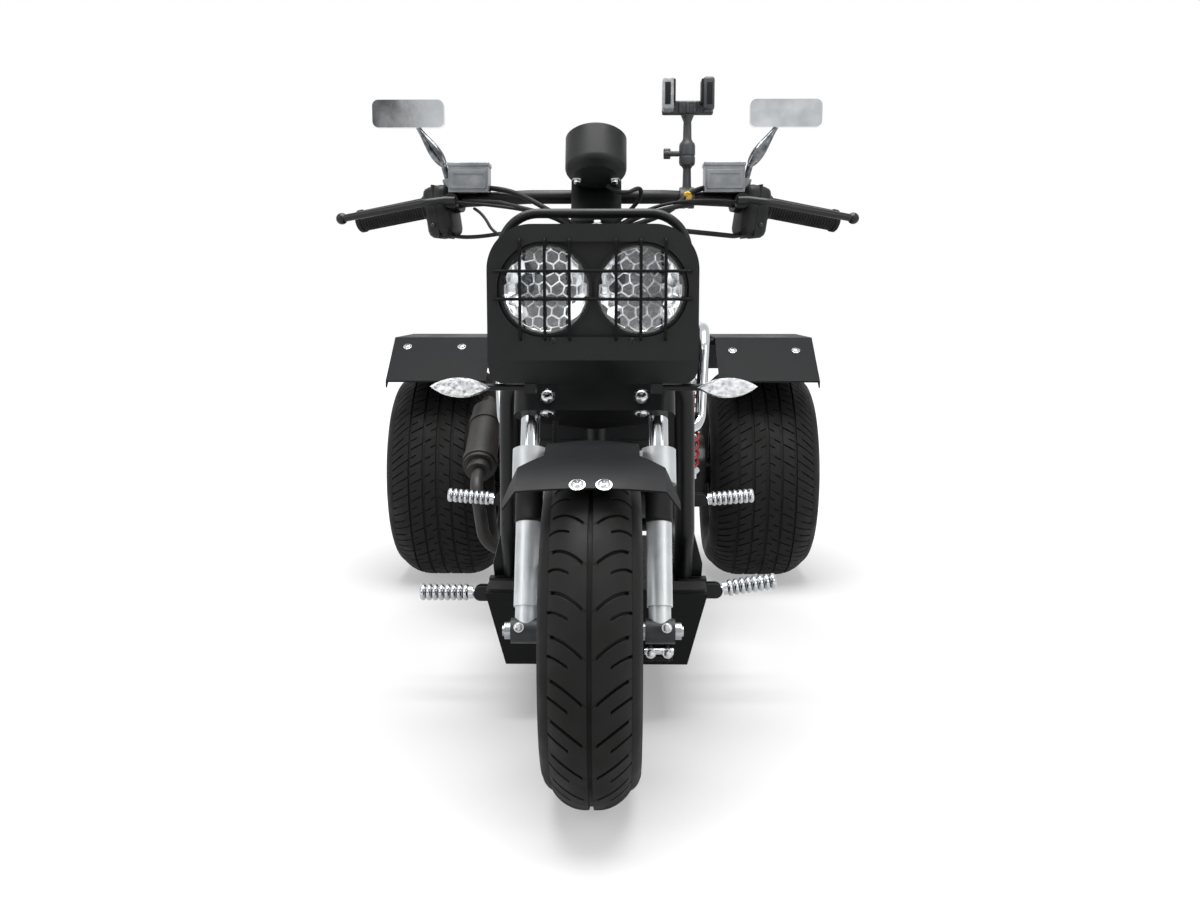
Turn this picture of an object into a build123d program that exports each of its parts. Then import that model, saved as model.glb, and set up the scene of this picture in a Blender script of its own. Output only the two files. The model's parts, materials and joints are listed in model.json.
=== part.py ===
from build123d import *
from math import cos, radians, sin
import os

os.makedirs("parts", exist_ok=True)

# A three-wheeled scooter, in millimetres. It faces -Y, its left side is +X and the
# ground is Z = 0. Lengths along the vehicle are counted from the front axle back.

# Driving sizes: wheels and stance
WHEELBASE = 1370
FRONT_TYRE_R = 243
FRONT_TYRE_W = 130
FRONT_RIM_R = 165
FRONT_RIM_HALF = 46
REAR_TYRE_R = 265
REAR_TYRE_W = 260
REAR_RIM_R = 152
REAR_RIM_HALF = 104
REAR_WIDTH = 1040
RIM_LIP = 5
RIM_LIP_H = 9.5
LENGTH = FRONT_TYRE_R + WHEELBASE + REAR_TYRE_R
FRONT_Y = FRONT_TYRE_R - LENGTH / 2
REAR_WHEEL_X = (REAR_WIDTH - REAR_TYRE_W) / 2

# Driving sizes: steering head and fork
RAKE = radians(25)
FORK_OFFSET = 26
FORK_X = 95
STANCHION_R = 15
LEG_R = 18.5
COLLAR_R = 26
LEG_TOP = 268
COLLAR_FOOT = 215
YOKE_FOOT = 322
YOKE_TOP = 366
STEM_R = 14
HEAD_TUBE_R = 27
HEAD_TUBE_FOOT = 384
HEAD_TUBE_TOP = 575
CLAMP_FOOT = 650
CLAMP_TOP = 722
BAR_LEVEL = 706
BAR_R = 11.1
AXLE_R = 7.5
RUNNING = 0.05

# Driving sizes: frame tubes
RAIL_R = 17
RAIL_X = 152
RAIL_Z = 205
SEAT_RAIL_X = 135
SEAT_RAIL_Z = 570
KNEE_D = 836
SEAT_RAIL_D = KNEE_D + 69
RAIL_END = WHEELBASE + 120
FLOOR_Z = RAIL_Z + RAIL_R
PAN_TOP_Z = RAIL_Z - RAIL_R - 2


def back(distance):
    """Y of a place that lies so far behind the front axle."""
    return FRONT_Y + distance


def spot(x, distance, z):
    """A point given across, behind the front axle and above the ground."""
    return Vector(x, back(distance), z)


def rear_spot(x):
    """A point on the rear axle's line, given across."""
    return spot(x, WHEELBASE, REAR_TYRE_R)


def span(side, near, far):
    """Two ends across on one side of the vehicle, the lower one first."""
    return sorted((side * near, side * far))


STEER = Plane(
    origin=spot(0, FORK_OFFSET * cos(RAKE), FRONT_TYRE_R - FORK_OFFSET * sin(RAKE)),
    x_dir=(1, 0, 0),
    z_dir=(0, sin(RAKE), cos(RAKE)),
)
FRONT_AXLE = Axis(spot(0, 0, FRONT_TYRE_R), (1, 0, 0))
REAR_AXLE = Axis(spot(0, WHEELBASE, REAR_TYRE_R), (1, 0, 0))


def steer_spot(x, y, z):
    """A point in the turned frame of the steering axis."""
    return STEER.from_local_coords(Vector(x, y, z))


def facing_front(distance):
    """Plane whose drawing is seen from ahead: X to the right, Z up."""
    return Plane(origin=(0, back(distance), 0), x_dir=(1, 0, 0), z_dir=(0, -1, 0))


def facing_left(x):
    """Plane whose drawing is seen from the vehicle's left: Y to the right, Z up."""
    return Plane(origin=(x, 0, 0), x_dir=(0, 1, 0), z_dir=(1, 0, 0))


def wheel_section(x, distance, z, turned_back=0):
    """Plane through an axle: X along it and the radius upward, turned back about it."""
    lean = radians(turned_back)
    return Plane(origin=spot(x, distance, z), x_dir=(1, 0, 0), z_dir=(0, -cos(lean), sin(lean)))


def tube(points, radius, bends, mode=Mode.ADD):
    """Adds or cuts a round bar bent through the points."""
    with BuildLine() as path:
        FilletPolyline(*points, radius=bends)
    wire = path.wires()[0]
    with BuildSketch(Plane(origin=wire @ 0, z_dir=wire % 0)) as ring:
        Circle(radius)
    sweep(ring.sketch, path=wire, mode=mode)


def rod(start, end, radius, mode=Mode.ADD):
    """Adds or cuts a straight round bar from one point to another."""
    run = Vector(end) - Vector(start)
    with BuildSketch(Plane(origin=start, z_dir=run)) as ring:
        Circle(radius)
    extrude(ring.sketch, amount=run.length, mode=mode)


def block(xs, distances, heights, mode=Mode.ADD):
    """Adds or cuts a box given by its two ends across, along and up."""
    middle = spot(sum(xs) / 2, sum(distances) / 2, sum(heights) / 2)
    with Locations(middle):
        Box(xs[1] - xs[0], distances[1] - distances[0], heights[1] - heights[0], mode=mode)


def steer_block(xs, ys, zs, mode=Mode.ADD):
    """Adds or cuts a box in the turned frame of the steering axis."""
    with Locations(STEER):
        with Locations((sum(xs) / 2, sum(ys) / 2, sum(zs) / 2)):
            Box(xs[1] - xs[0], ys[1] - ys[0], zs[1] - zs[0], mode=mode)


def keep(piece, label):
    """Names the finished piece and writes it out."""
    piece.part.label = label
    export_step(piece.part, "parts/" + label + ".step")


def tyre(radius, width, rim_radius, rim_half, shoulder, flat, plane, axis):
    """Adds one tyre: straight beads, bulged walls and a tread that rounds off beside a flat middle."""
    wall = (width / 2, rim_radius + RIM_LIP_H + 0.42 * (radius - rim_radius - RIM_LIP_H))
    edge = (shoulder[0] * width / 2, radius - shoulder[1])
    bead = (rim_half, rim_radius)
    hook = (rim_half, rim_radius + RIM_LIP_H)
    with BuildSketch(plane) as section:
        with BuildLine():
            Line((-bead[0], bead[1]), bead)
            Line(bead, hook)
            ThreePointArc(hook, wall, edge)
            TangentArc((flat, radius), edge, tangent=(1, 0))
            Line((flat, radius), (-flat, radius))
            TangentArc((-flat, radius), (-edge[0], edge[1]), tangent=(-1, 0))
            ThreePointArc((-edge[0], edge[1]), (-wall[0], wall[1]), (-hook[0], hook[1]))
            Line((-hook[0], hook[1]), (-bead[0], bead[1]))
        make_face()
    revolve(section.sketch, axis=axis)


def rim_barrel(rim_radius, rim_half, wall, plane, axis):
    """Adds the rim's band with a lip on each edge."""
    out = rim_half + RIM_LIP
    lip = rim_radius + RIM_LIP_H
    inside = rim_radius - wall
    with BuildSketch(plane) as section:
        with BuildLine():
            Polyline(
                (-out, inside), (-out, lip), (-rim_half, lip), (-rim_half, rim_radius),
                (rim_half, rim_radius), (rim_half, lip), (out, lip), (out, inside), close=True,
            )
        make_face()
    revolve(section.sketch, axis=axis)


# Front wheel: tyre, cast rim and brake disc
FRONT_HUB_R = 30
FRONT_HUB_HALF = 58
FRONT_SPOKES = 5
DISC_R = 95
DISC_X = -60
DISC_T = 4
DISC_HOLES = 12

with BuildPart() as front_tyre:
    tyre(
        FRONT_TYRE_R, FRONT_TYRE_W, FRONT_RIM_R, FRONT_RIM_HALF, (0.82, 26), 8,
        wheel_section(0, 0, FRONT_TYRE_R), FRONT_AXLE,
    )
keep(front_tyre, "front_tyre")

with BuildPart() as front_rim:
    rim_barrel(FRONT_RIM_R, FRONT_RIM_HALF, 12, wheel_section(0, 0, FRONT_TYRE_R), FRONT_AXLE)
    rod(
        spot(-FRONT_HUB_HALF, 0, FRONT_TYRE_R), spot(FRONT_HUB_HALF, 0, FRONT_TYRE_R), FRONT_HUB_R
    )
    with BuildSketch(Plane(origin=spot(-14, 0, FRONT_TYRE_R), x_dir=(0, 1, 0), z_dir=(1, 0, 0))):
        with PolarLocations(0, FRONT_SPOKES, start_angle=90):
            with BuildLine():
                Polyline((20, 19), (FRONT_RIM_R - 8, 13), (FRONT_RIM_R - 8, -13), (20, -19), close=True)
            make_face()
    extrude(amount=28)
    rod(
        spot(-FRONT_HUB_HALF - 1, 0, FRONT_TYRE_R), spot(FRONT_HUB_HALF + 1, 0, FRONT_TYRE_R),
        AXLE_R + RUNNING, mode=Mode.SUBTRACT,
    )
keep(front_rim, "front_rim")

with BuildPart() as front_brake_disc:
    with BuildSketch(
        Plane(origin=spot(DISC_X, 0, FRONT_TYRE_R), x_dir=(0, 1, 0), z_dir=(-1, 0, 0))
    ):
        Circle(DISC_R)
        Circle(18, mode=Mode.SUBTRACT)
        with PolarLocations(78, DISC_HOLES):
            Circle(5, mode=Mode.SUBTRACT)
        with PolarLocations(48, 6):
            Circle(11, mode=Mode.SUBTRACT)
    extrude(amount=DISC_T)
    rod(
        spot(DISC_X, 0, FRONT_TYRE_R), spot(-FRONT_HUB_HALF, 0, FRONT_TYRE_R), 28
    )
    rod(
        spot(DISC_X - DISC_T - 1, 0, FRONT_TYRE_R), spot(-FRONT_HUB_HALF, 0, FRONT_TYRE_R), 18,
        mode=Mode.SUBTRACT,
    )
keep(front_brake_disc, "front_brake_disc")

# Rear wheels: wide tyre, dished rim with its hub, brake drum and half shaft
SHAFT_R = 15
HUB_R = 32
DRUM_R = 92
DRUM_INNER = REAR_WHEEL_X - 176
DRUM_OUTER = DRUM_INNER + 42
SHAFT_INNER = DRUM_INNER - 66
WHEEL_DISC_X = REAR_WHEEL_X + 28
HUB_NOSE = 36
WHEEL_DISC_T = 14
WHEEL_WINDOWS = 6


def rear_rim(side):
    """Adds the rim, hub, drum and half shaft of one rear wheel."""
    section = wheel_section(side * REAR_WHEEL_X, WHEELBASE, REAR_TYRE_R)
    rim_barrel(REAR_RIM_R, REAR_RIM_HALF, 10, section, REAR_AXLE)
    rod(rear_spot(side * SHAFT_INNER), rear_spot(side * DRUM_INNER), SHAFT_R)
    rod(rear_spot(side * DRUM_INNER), rear_spot(side * DRUM_OUTER), DRUM_R)
    rod(rear_spot(side * DRUM_OUTER), rear_spot(side * (WHEEL_DISC_X + HUB_NOSE)), HUB_R)
    face = Plane(origin=rear_spot(side * WHEEL_DISC_X), x_dir=(0, 1, 0), z_dir=(side, 0, 0))
    with BuildSketch(face) as disc:
        Circle(REAR_RIM_R - 5)
        with PolarLocations(96, WHEEL_WINDOWS, start_angle=30):
            Circle(29, mode=Mode.SUBTRACT)
    extrude(disc.sketch, amount=WHEEL_DISC_T)


REAR_SIDES = {"left": 1, "right": -1}
for name, side in REAR_SIDES.items():
    with BuildPart() as rear_tyre:
        tyre(
            REAR_TYRE_R, REAR_TYRE_W, REAR_RIM_R, REAR_RIM_HALF, (0.86, 30), 46,
            wheel_section(side * REAR_WHEEL_X, WHEELBASE, REAR_TYRE_R), REAR_AXLE,
        )
    keep(rear_tyre, "rear_tyre_" + name)
    with BuildPart() as rear_wheel:
        rear_rim(side)
    keep(rear_wheel, "rear_rim_" + name)

# Fork: legs, stanchions, axle, yoke with stem and bar clamp
LEG_FOOT = 34
LEG_FOOT_R = LEG_R - 2.5
BOSS_R = 18
BOSS_IN = 74
BOSS_OUT = 116
EAR_IN = 64

with BuildPart() as fork_legs:
    for side in (-1, 1):
        x = side * FORK_X
        rod(steer_spot(x, -FORK_OFFSET, 0), steer_spot(x, -FORK_OFFSET, LEG_FOOT + 2), LEG_FOOT_R)
        rod(steer_spot(x, -FORK_OFFSET, LEG_FOOT), steer_spot(x, -FORK_OFFSET, COLLAR_FOOT + 2), LEG_R)
        rod(steer_spot(x, -FORK_OFFSET, COLLAR_FOOT), steer_spot(x, -FORK_OFFSET, LEG_TOP), COLLAR_R)
        rod(spot(side * BOSS_IN, 0, FRONT_TYRE_R), spot(side * BOSS_OUT, 0, FRONT_TYRE_R), BOSS_R)
        steer_block(
            sorted((side * EAR_IN, side * (FORK_X - 12))), (-FORK_OFFSET - 11, -FORK_OFFSET + 11), (246, 264)
        )
        rod(
            steer_spot(x, -FORK_OFFSET, 150), steer_spot(x, -FORK_OFFSET, LEG_TOP + 1), STANCHION_R,
            mode=Mode.SUBTRACT,
        )
    steer_block((-FORK_X - 4, -84), (-FORK_OFFSET, 20), (40, 84))
    rod(
        spot(-BOSS_OUT - 1, 0, FRONT_TYRE_R), spot(BOSS_OUT + 1, 0, FRONT_TYRE_R), AXLE_R,
        mode=Mode.SUBTRACT,
    )
keep(fork_legs, "fork_legs")

with BuildPart() as fork_stanchions:
    for side in (-1, 1):
        rod(
            steer_spot(side * FORK_X, -FORK_OFFSET, 150),
            steer_spot(side * FORK_X, -FORK_OFFSET, YOKE_TOP + 6), STANCHION_R,
        )
keep(fork_stanchions, "fork_stanchions")

with BuildPart() as front_axle:
    rod(spot(-128, 0, FRONT_TYRE_R), spot(128, 0, FRONT_TYRE_R), AXLE_R)
    for side in (-1, 1):
        rod(
            spot(side * (FRONT_HUB_HALF + 0.5), 0, FRONT_TYRE_R), spot(side * BOSS_IN, 0, FRONT_TYRE_R), 13
        )
        rod(spot(side * BOSS_OUT, 0, FRONT_TYRE_R), spot(side * (BOSS_OUT + 9), 0, FRONT_TYRE_R), 12)
keep(front_axle, "front_axle")

with BuildPart() as steering_yoke:
    with BuildSketch(STEER.offset(YOKE_FOOT)):
        Circle(36)
        with Locations((-FORK_X, -FORK_OFFSET), (FORK_X, -FORK_OFFSET)):
            Circle(STANCHION_R + 11)
        make_hull()
        with Locations((-FORK_X, -FORK_OFFSET), (FORK_X, -FORK_OFFSET)):
            Circle(STANCHION_R, mode=Mode.SUBTRACT)
    extrude(amount=YOKE_TOP - YOKE_FOOT)
    rod(steer_spot(0, 0, YOKE_FOOT), steer_spot(0, 0, CLAMP_TOP - 30), STEM_R)
    rod(steer_spot(0, 0, HEAD_TUBE_TOP + 2), steer_spot(0, 0, HEAD_TUBE_TOP + 22), 24)
    steer_block((-40, 40), (-24, 24), (CLAMP_FOOT, CLAMP_TOP))
    rod(steer_spot(-50, 0, BAR_LEVEL), steer_spot(50, 0, BAR_LEVEL), BAR_R, mode=Mode.SUBTRACT)
keep(steering_yoke, "steering_yoke")

# Front mudguard: a flat-topped flap ahead of the fork that narrows to a tail between the legs
GUARD_R = 270
GUARD_HALF = 116
GUARD_FLAT = 97
GUARD_CROWN = 6
GUARD_EDGE = 32
GUARD_TAIL_HALF = EAR_IN
GUARD_T = 3
GUARD_AHEAD = 32
GUARD_BEHIND = 62
GUARD_FLARE = (-112, -64)


def guard_section(plane, half, edge):
    """Draws the crowned sheet of the mudguard with edges turned down outside its flat."""
    flat = min(half, GUARD_FLAT)
    with BuildSketch(plane) as section:
        with BuildLine():
            for drop in (0, GUARD_T):
                top = GUARD_R - drop
                ThreePointArc((-flat, top - GUARD_CROWN), (0, top), (flat, top - GUARD_CROWN))
            rim = GUARD_R - GUARD_CROWN
            low = rim - edge
            for side in (-1, 1):
                if half > flat:
                    Line((side * flat, rim), (side * half, low))
                    Line((side * flat, rim - GUARD_T), (side * (half - GUARD_T), low))
                    Line((side * half, low), (side * (half - GUARD_T), low))
                else:
                    Line((side * flat, rim), (side * flat, rim - GUARD_T))
        make_face()
    return section.sketch


with BuildPart() as front_mudguard:
    revolve(
        guard_section(wheel_section(0, 0, FRONT_TYRE_R), GUARD_HALF, GUARD_EDGE),
        axis=FRONT_AXLE, revolution_arc=GUARD_AHEAD,
    )
    for side in (-1, 1):
        with BuildSketch(Plane.XY.offset(FRONT_TYRE_R)) as flare:
            with BuildLine():
                Polyline(
                    (side * (GUARD_HALF + 5), back(GUARD_FLARE[0])),
                    (side * GUARD_TAIL_HALF, back(GUARD_FLARE[1])),
                    (side * GUARD_TAIL_HALF, back(20)), (side * (GUARD_HALF + 5), back(20)), close=True,
                )
            make_face()
        extrude(flare.sketch, amount=GUARD_R + 20, mode=Mode.SUBTRACT)
    revolve(
        guard_section(wheel_section(0, 0, FRONT_TYRE_R, GUARD_BEHIND), GUARD_TAIL_HALF, 0),
        axis=FRONT_AXLE, revolution_arc=GUARD_BEHIND + 1,
    )
keep(front_mudguard, "front_mudguard")

CALIPER_TURN = 67
with BuildPart() as front_brake_caliper:
    with Locations(wheel_section(0, 0, FRONT_TYRE_R, CALIPER_TURN)):
        with Locations((-66, 86, 0)):
            Box(36, 52, 52)
        with Locations((DISC_X - DISC_T / 2, 70, 0)):
            Box(DISC_T + 3, 2 * (DISC_R - 70 + 4), 60, mode=Mode.SUBTRACT)
keep(front_brake_caliper, "front_brake_caliper")

# Handlebar with its controls
BAR_BEND = 60
BAR_KNEES = [(110, 0, 0), (215, 14, -4), (395, 74, -33)]
bar_centre = steer_spot(0, 0, BAR_LEVEL)
bar_left = [bar_centre + Vector(x, y, z) for x, y, z in BAR_KNEES]
bar_right = [Vector(-p.X, p.Y, p.Z) for p in bar_left]
GRIP_START = 66
GRIP_R = 17
SWITCH_START = 34
SWITCH_R = 22
PERCH_START = 8
PERCH_R = 18


def on_bar(side, reach):
    """Point on the outer straight of the handlebar, so far out from its last bend."""
    knees = bar_left if side > 0 else bar_right
    return knees[1] + (knees[2] - knees[1]).normalized() * reach


BAR_END = (bar_left[2] - bar_left[1]).length

with BuildPart() as handlebar:
    tube(bar_right[::-1] + bar_left, BAR_R, [BAR_BEND] * 4)
keep(handlebar, "handlebar")

with BuildPart() as grips:
    for side in (-1, 1):
        rod(on_bar(side, GRIP_START), on_bar(side, BAR_END + 4), GRIP_R)
        rod(on_bar(side, GRIP_START), on_bar(side, GRIP_START + 5), GRIP_R + 4)
        rod(on_bar(side, BAR_END - 2), on_bar(side, BAR_END + 6), GRIP_R + 2)
        rod(on_bar(side, GRIP_START - 1), on_bar(side, BAR_END), BAR_R, mode=Mode.SUBTRACT)
keep(grips, "grips")

with BuildPart() as switch_housings:
    for side in (-1, 1):
        rod(on_bar(side, SWITCH_START), on_bar(side, GRIP_START - 1), SWITCH_R)
        low = on_bar(side, SWITCH_START + 14)
        with Locations(low + Vector(0, 4, -20)):
            Box(20, 34, 34)
        rod(on_bar(side, SWITCH_START - 40), on_bar(side, GRIP_START + 20), BAR_R, mode=Mode.SUBTRACT)
keep(switch_housings, "switch_housings")

RESERVOIR = (64, 44, 44)
LEVER_R = 6
LEVER_BALL_R = 9.5
with BuildPart() as master_cylinders:
    for side in (-1, 1):
        rod(on_bar(side, PERCH_START), on_bar(side, SWITCH_START - 1), PERCH_R)
        hub = on_bar(side, PERCH_START + 12)
        rod(hub, hub + Vector(0, -44, 0), 12)
        with Locations(Vector(side * 205, hub.Y - 22, hub.Z + 13 + RESERVOIR[2] / 2)):
            Box(*RESERVOIR)
        rod(hub, hub + Vector(side * 10, -2, 38), 9)
        rod(on_bar(side, -60), on_bar(side, SWITCH_START + 20), BAR_R, mode=Mode.SUBTRACT)
        tube_start = [Vector(side * p.X, p.Y, p.Z) for p in bar_left[:2]]
        rod(tube_start[0], tube_start[1], BAR_R + 0.5, mode=Mode.SUBTRACT)
keep(master_cylinders, "master_cylinders")

with BuildPart() as brake_levers:
    pivot = on_bar(-1, PERCH_START + 12) + Vector(0, -44 - LEVER_R, 0)
    far = on_bar(-1, BAR_END + 26) + Vector(0, -62, 4)
    knee = on_bar(-1, PERCH_START + 52) + Vector(0, -66, 2)
    tube([pivot + Vector(8, 0, 0), pivot - Vector(8, 0, 0), knee, far], LEVER_R, [9, 40])
    with Locations(far):
        Sphere(LEVER_BALL_R, rotation=(0, 90, 0))
    mirror(about=Plane.YZ)
keep(brake_levers, "brake_levers")

# Mirrors: stem, swelling arm and rectangular head
MIRROR_HEAD = (116, 15, 44)
with BuildPart() as mirrors:
    for side in (-1, 1):
        hub = on_bar(side, PERCH_START + 12)
        foot = hub + Vector(side * 10, -2, 38)
        elbow = foot + Vector(side * 10, -2, 38).normalized() * 23
        head = Vector(side * 306, hub.Y + 2, 1006)
        rod(foot, elbow, 5)
        reach = (head - elbow).normalized()
        stations = [(0, 6, 5), (16, 10, 6.5), (42, 8, 6), ((head - elbow).length - 12, 5, 4.5)]
        for step, wide, thick in stations:
            along = Plane(
                origin=elbow + reach * step, x_dir=(side * reach.Z, 0, -reach.X * side), z_dir=reach
            )
            with BuildSketch(along):
                Ellipse(wide, thick)
        loft()
        with BuildSketch(Plane(origin=head, x_dir=(1, 0, 0), z_dir=(0, -1, 0))):
            RectangleRounded(MIRROR_HEAD[0], MIRROR_HEAD[2], 10)
        extrude(amount=MIRROR_HEAD[1] / 2, both=True)
keep(mirrors, "mirrors")

with BuildPart() as mirror_glasses:
    for side in (-1, 1):
        hub = on_bar(side, PERCH_START + 12)
        face = Vector(side * 306, hub.Y + 2 + MIRROR_HEAD[1] / 2, 1006)
        with BuildSketch(Plane(origin=face, x_dir=(1, 0, 0), z_dir=(0, -1, 0))):
            RectangleRounded(MIRROR_HEAD[0] - 8, MIRROR_HEAD[2] - 8, 7)
        extrude(amount=-2)
keep(mirror_glasses, "mirror_glasses")

# Speedometer pod on its bracket above the bar clamp
POD_Y = -73
POD_R = 48
POD_FOOT = 699
POD_TOP = 768
BRACKET_T = 4
with BuildPart() as speedometer:
    steer_block((-36, 36), (POD_Y - 24, 22), (CLAMP_TOP, CLAMP_TOP + BRACKET_T))
    with BuildSketch(Plane(origin=steer_spot(0, POD_Y, 0), x_dir=(1, 0, 0), z_dir=-STEER.y_dir)):
        with BuildLine():
            Polyline((0, POD_FOOT), (POD_R - 14, POD_FOOT), (POD_R - 5, POD_FOOT + 6))
            ThreePointArc(
                (POD_R - 5, POD_FOOT + 6), (POD_R - 1.5, POD_FOOT + 10), (POD_R, POD_FOOT + 15)
            )
            Polyline(
                (POD_R, POD_FOOT + 15), (POD_R, POD_TOP - 3), (POD_R - 3, POD_TOP), (POD_R - 5, POD_TOP),
                (POD_R - 5, POD_TOP - 3), (0, POD_TOP - 3), (0, POD_FOOT),
            )
        make_face()
    revolve(axis=Axis(steer_spot(0, POD_Y, 0), STEER.z_dir))
keep(speedometer, "speedometer")

# Phone holder clamped on the left half of the bar
PHONE_X = 146
with BuildPart() as phone_holder:
    bar_mid = bar_left[0] + (bar_left[1] - bar_left[0]) * ((PHONE_X - 110) / 105)
    rod(bar_mid + Vector(-12, 0, 0), bar_mid + Vector(12, 0, 0), 17)
    rod(bar_mid, bar_mid + Vector(0, 0, 56), 7)
    rod(bar_mid + Vector(0, 0, 50), bar_mid + Vector(0, 0, 88), 13)
    rod(bar_mid + Vector(0, 0, 84), bar_mid + Vector(0, 0, 132), 7)
    rod(bar_mid + Vector(-30, 0, 70), bar_mid + Vector(-10, 0, 70), 4.5)
    rod(bar_mid + Vector(-38, 0, 70), bar_mid + Vector(-28, 0, 70), 8)
    with Locations(bar_mid + Vector(0, 2, 142)):
        Box(82, 12, 22)
    with Locations(bar_mid + Vector(-32, -12, 160)):
        Box(18, 40, 52)
    with Locations(bar_mid + Vector(32, -12, 160)):
        Box(18, 40, 52)
    rod(bar_left[0], bar_left[1], BAR_R, mode=Mode.SUBTRACT)
keep(phone_holder, "phone_holder")

# Control cables from the perches down to the guide on the stem
CABLE_R = 4
with BuildPart() as control_cables:
    for side in (-1, 1):
        start = on_bar(side, PERCH_START + 12) + Vector(-side * 18, -34, 0)
        tube(
            [
                start, start + Vector(-side * 60, -14, -4), steer_spot(side * 70, -60, 640),
                steer_spot(side * 20, -30, 624), steer_spot(0, -STEM_R - 4, 622),
            ],
            CABLE_R, [20, 40, 20],
        )
keep(control_cables, "control_cables")

# Main frame: head tube, two side loops, down tube, cross tubes, lugs and brackets
SIDE_LOOP = [
    (8, 248, 700), (146, 340, 560), (RAIL_X, 388, 300), (RAIL_X, 452, RAIL_Z), (RAIL_X, KNEE_D - 76, RAIL_Z),
    (146, KNEE_D, 480), (SEAT_RAIL_X, SEAT_RAIL_D, SEAT_RAIL_Z), (SEAT_RAIL_X, RAIL_END, SEAT_RAIL_Z),
]
SIDE_BENDS = [60, 80, 60, 70, 70, 60]
DOWN_TUBE = [(0, 215, 606), (0, 322, 440), (0, 420, RAIL_Z)]
TANK_CROSS_D = WHEELBASE - 145
CROSS_TUBES = [
    (452, RAIL_Z, RAIL_X), ((452 + KNEE_D - 88) / 2, RAIL_Z, RAIL_X), (KNEE_D - 88, RAIL_Z, RAIL_X),
    (KNEE_D + 33, 530, 140), (SEAT_RAIL_D + 80, SEAT_RAIL_Z, SEAT_RAIL_X),
    (TANK_CROSS_D, SEAT_RAIL_Z, SEAT_RAIL_X), (RAIL_END - 12, SEAT_RAIL_Z, SEAT_RAIL_X),
]
CROSS_R = 12
PIVOT_D = KNEE_D - 14
PIVOT_Z = 245
PIVOT_R = 10
HINGE_D = KNEE_D + 10
HINGE_Z = 578
HINGE_R = 5
HINGE_HALF = 42
PEGS = [
    ("front_left", 1, 440, 190, 9), ("front_right", -1, 440, 184, 0),
    ("rear_left", 1, KNEE_D - 34, 290, 5), ("rear_right", -1, KNEE_D - 34, 290, 5),
]
PEG_PIVOT_X = 210
PEG_EAR_GAP = 12
PEG_EAR_T = 6
PEG_PIN_R = 4
EAR_R = 13
SHOCK_X = 196
SHOCK_LOW = (0.51 * PIVOT_D + 0.49 * WHEELBASE, 262)
SHOCK_TOP = (SHOCK_LOW[0] - 90, 556)
SHOCK_PIN_R = 7

# Gusset beside each front riser: how far outside the rail, how far up the riser
GUSSET = [(0, 12), (34, 12), (34, 44), (10, 145), (0, 145)]
GUSSET_T = 5
riser_low = spot(0, SIDE_LOOP[3][1], RAIL_Z)
riser_way = (spot(0, *SIDE_LOOP[2][1:]) - riser_low).normalized()
gusset_plane = Plane(origin=riser_low, x_dir=(1, 0, 0), z_dir=(0, -riser_way.Z, riser_way.Y))
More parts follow.
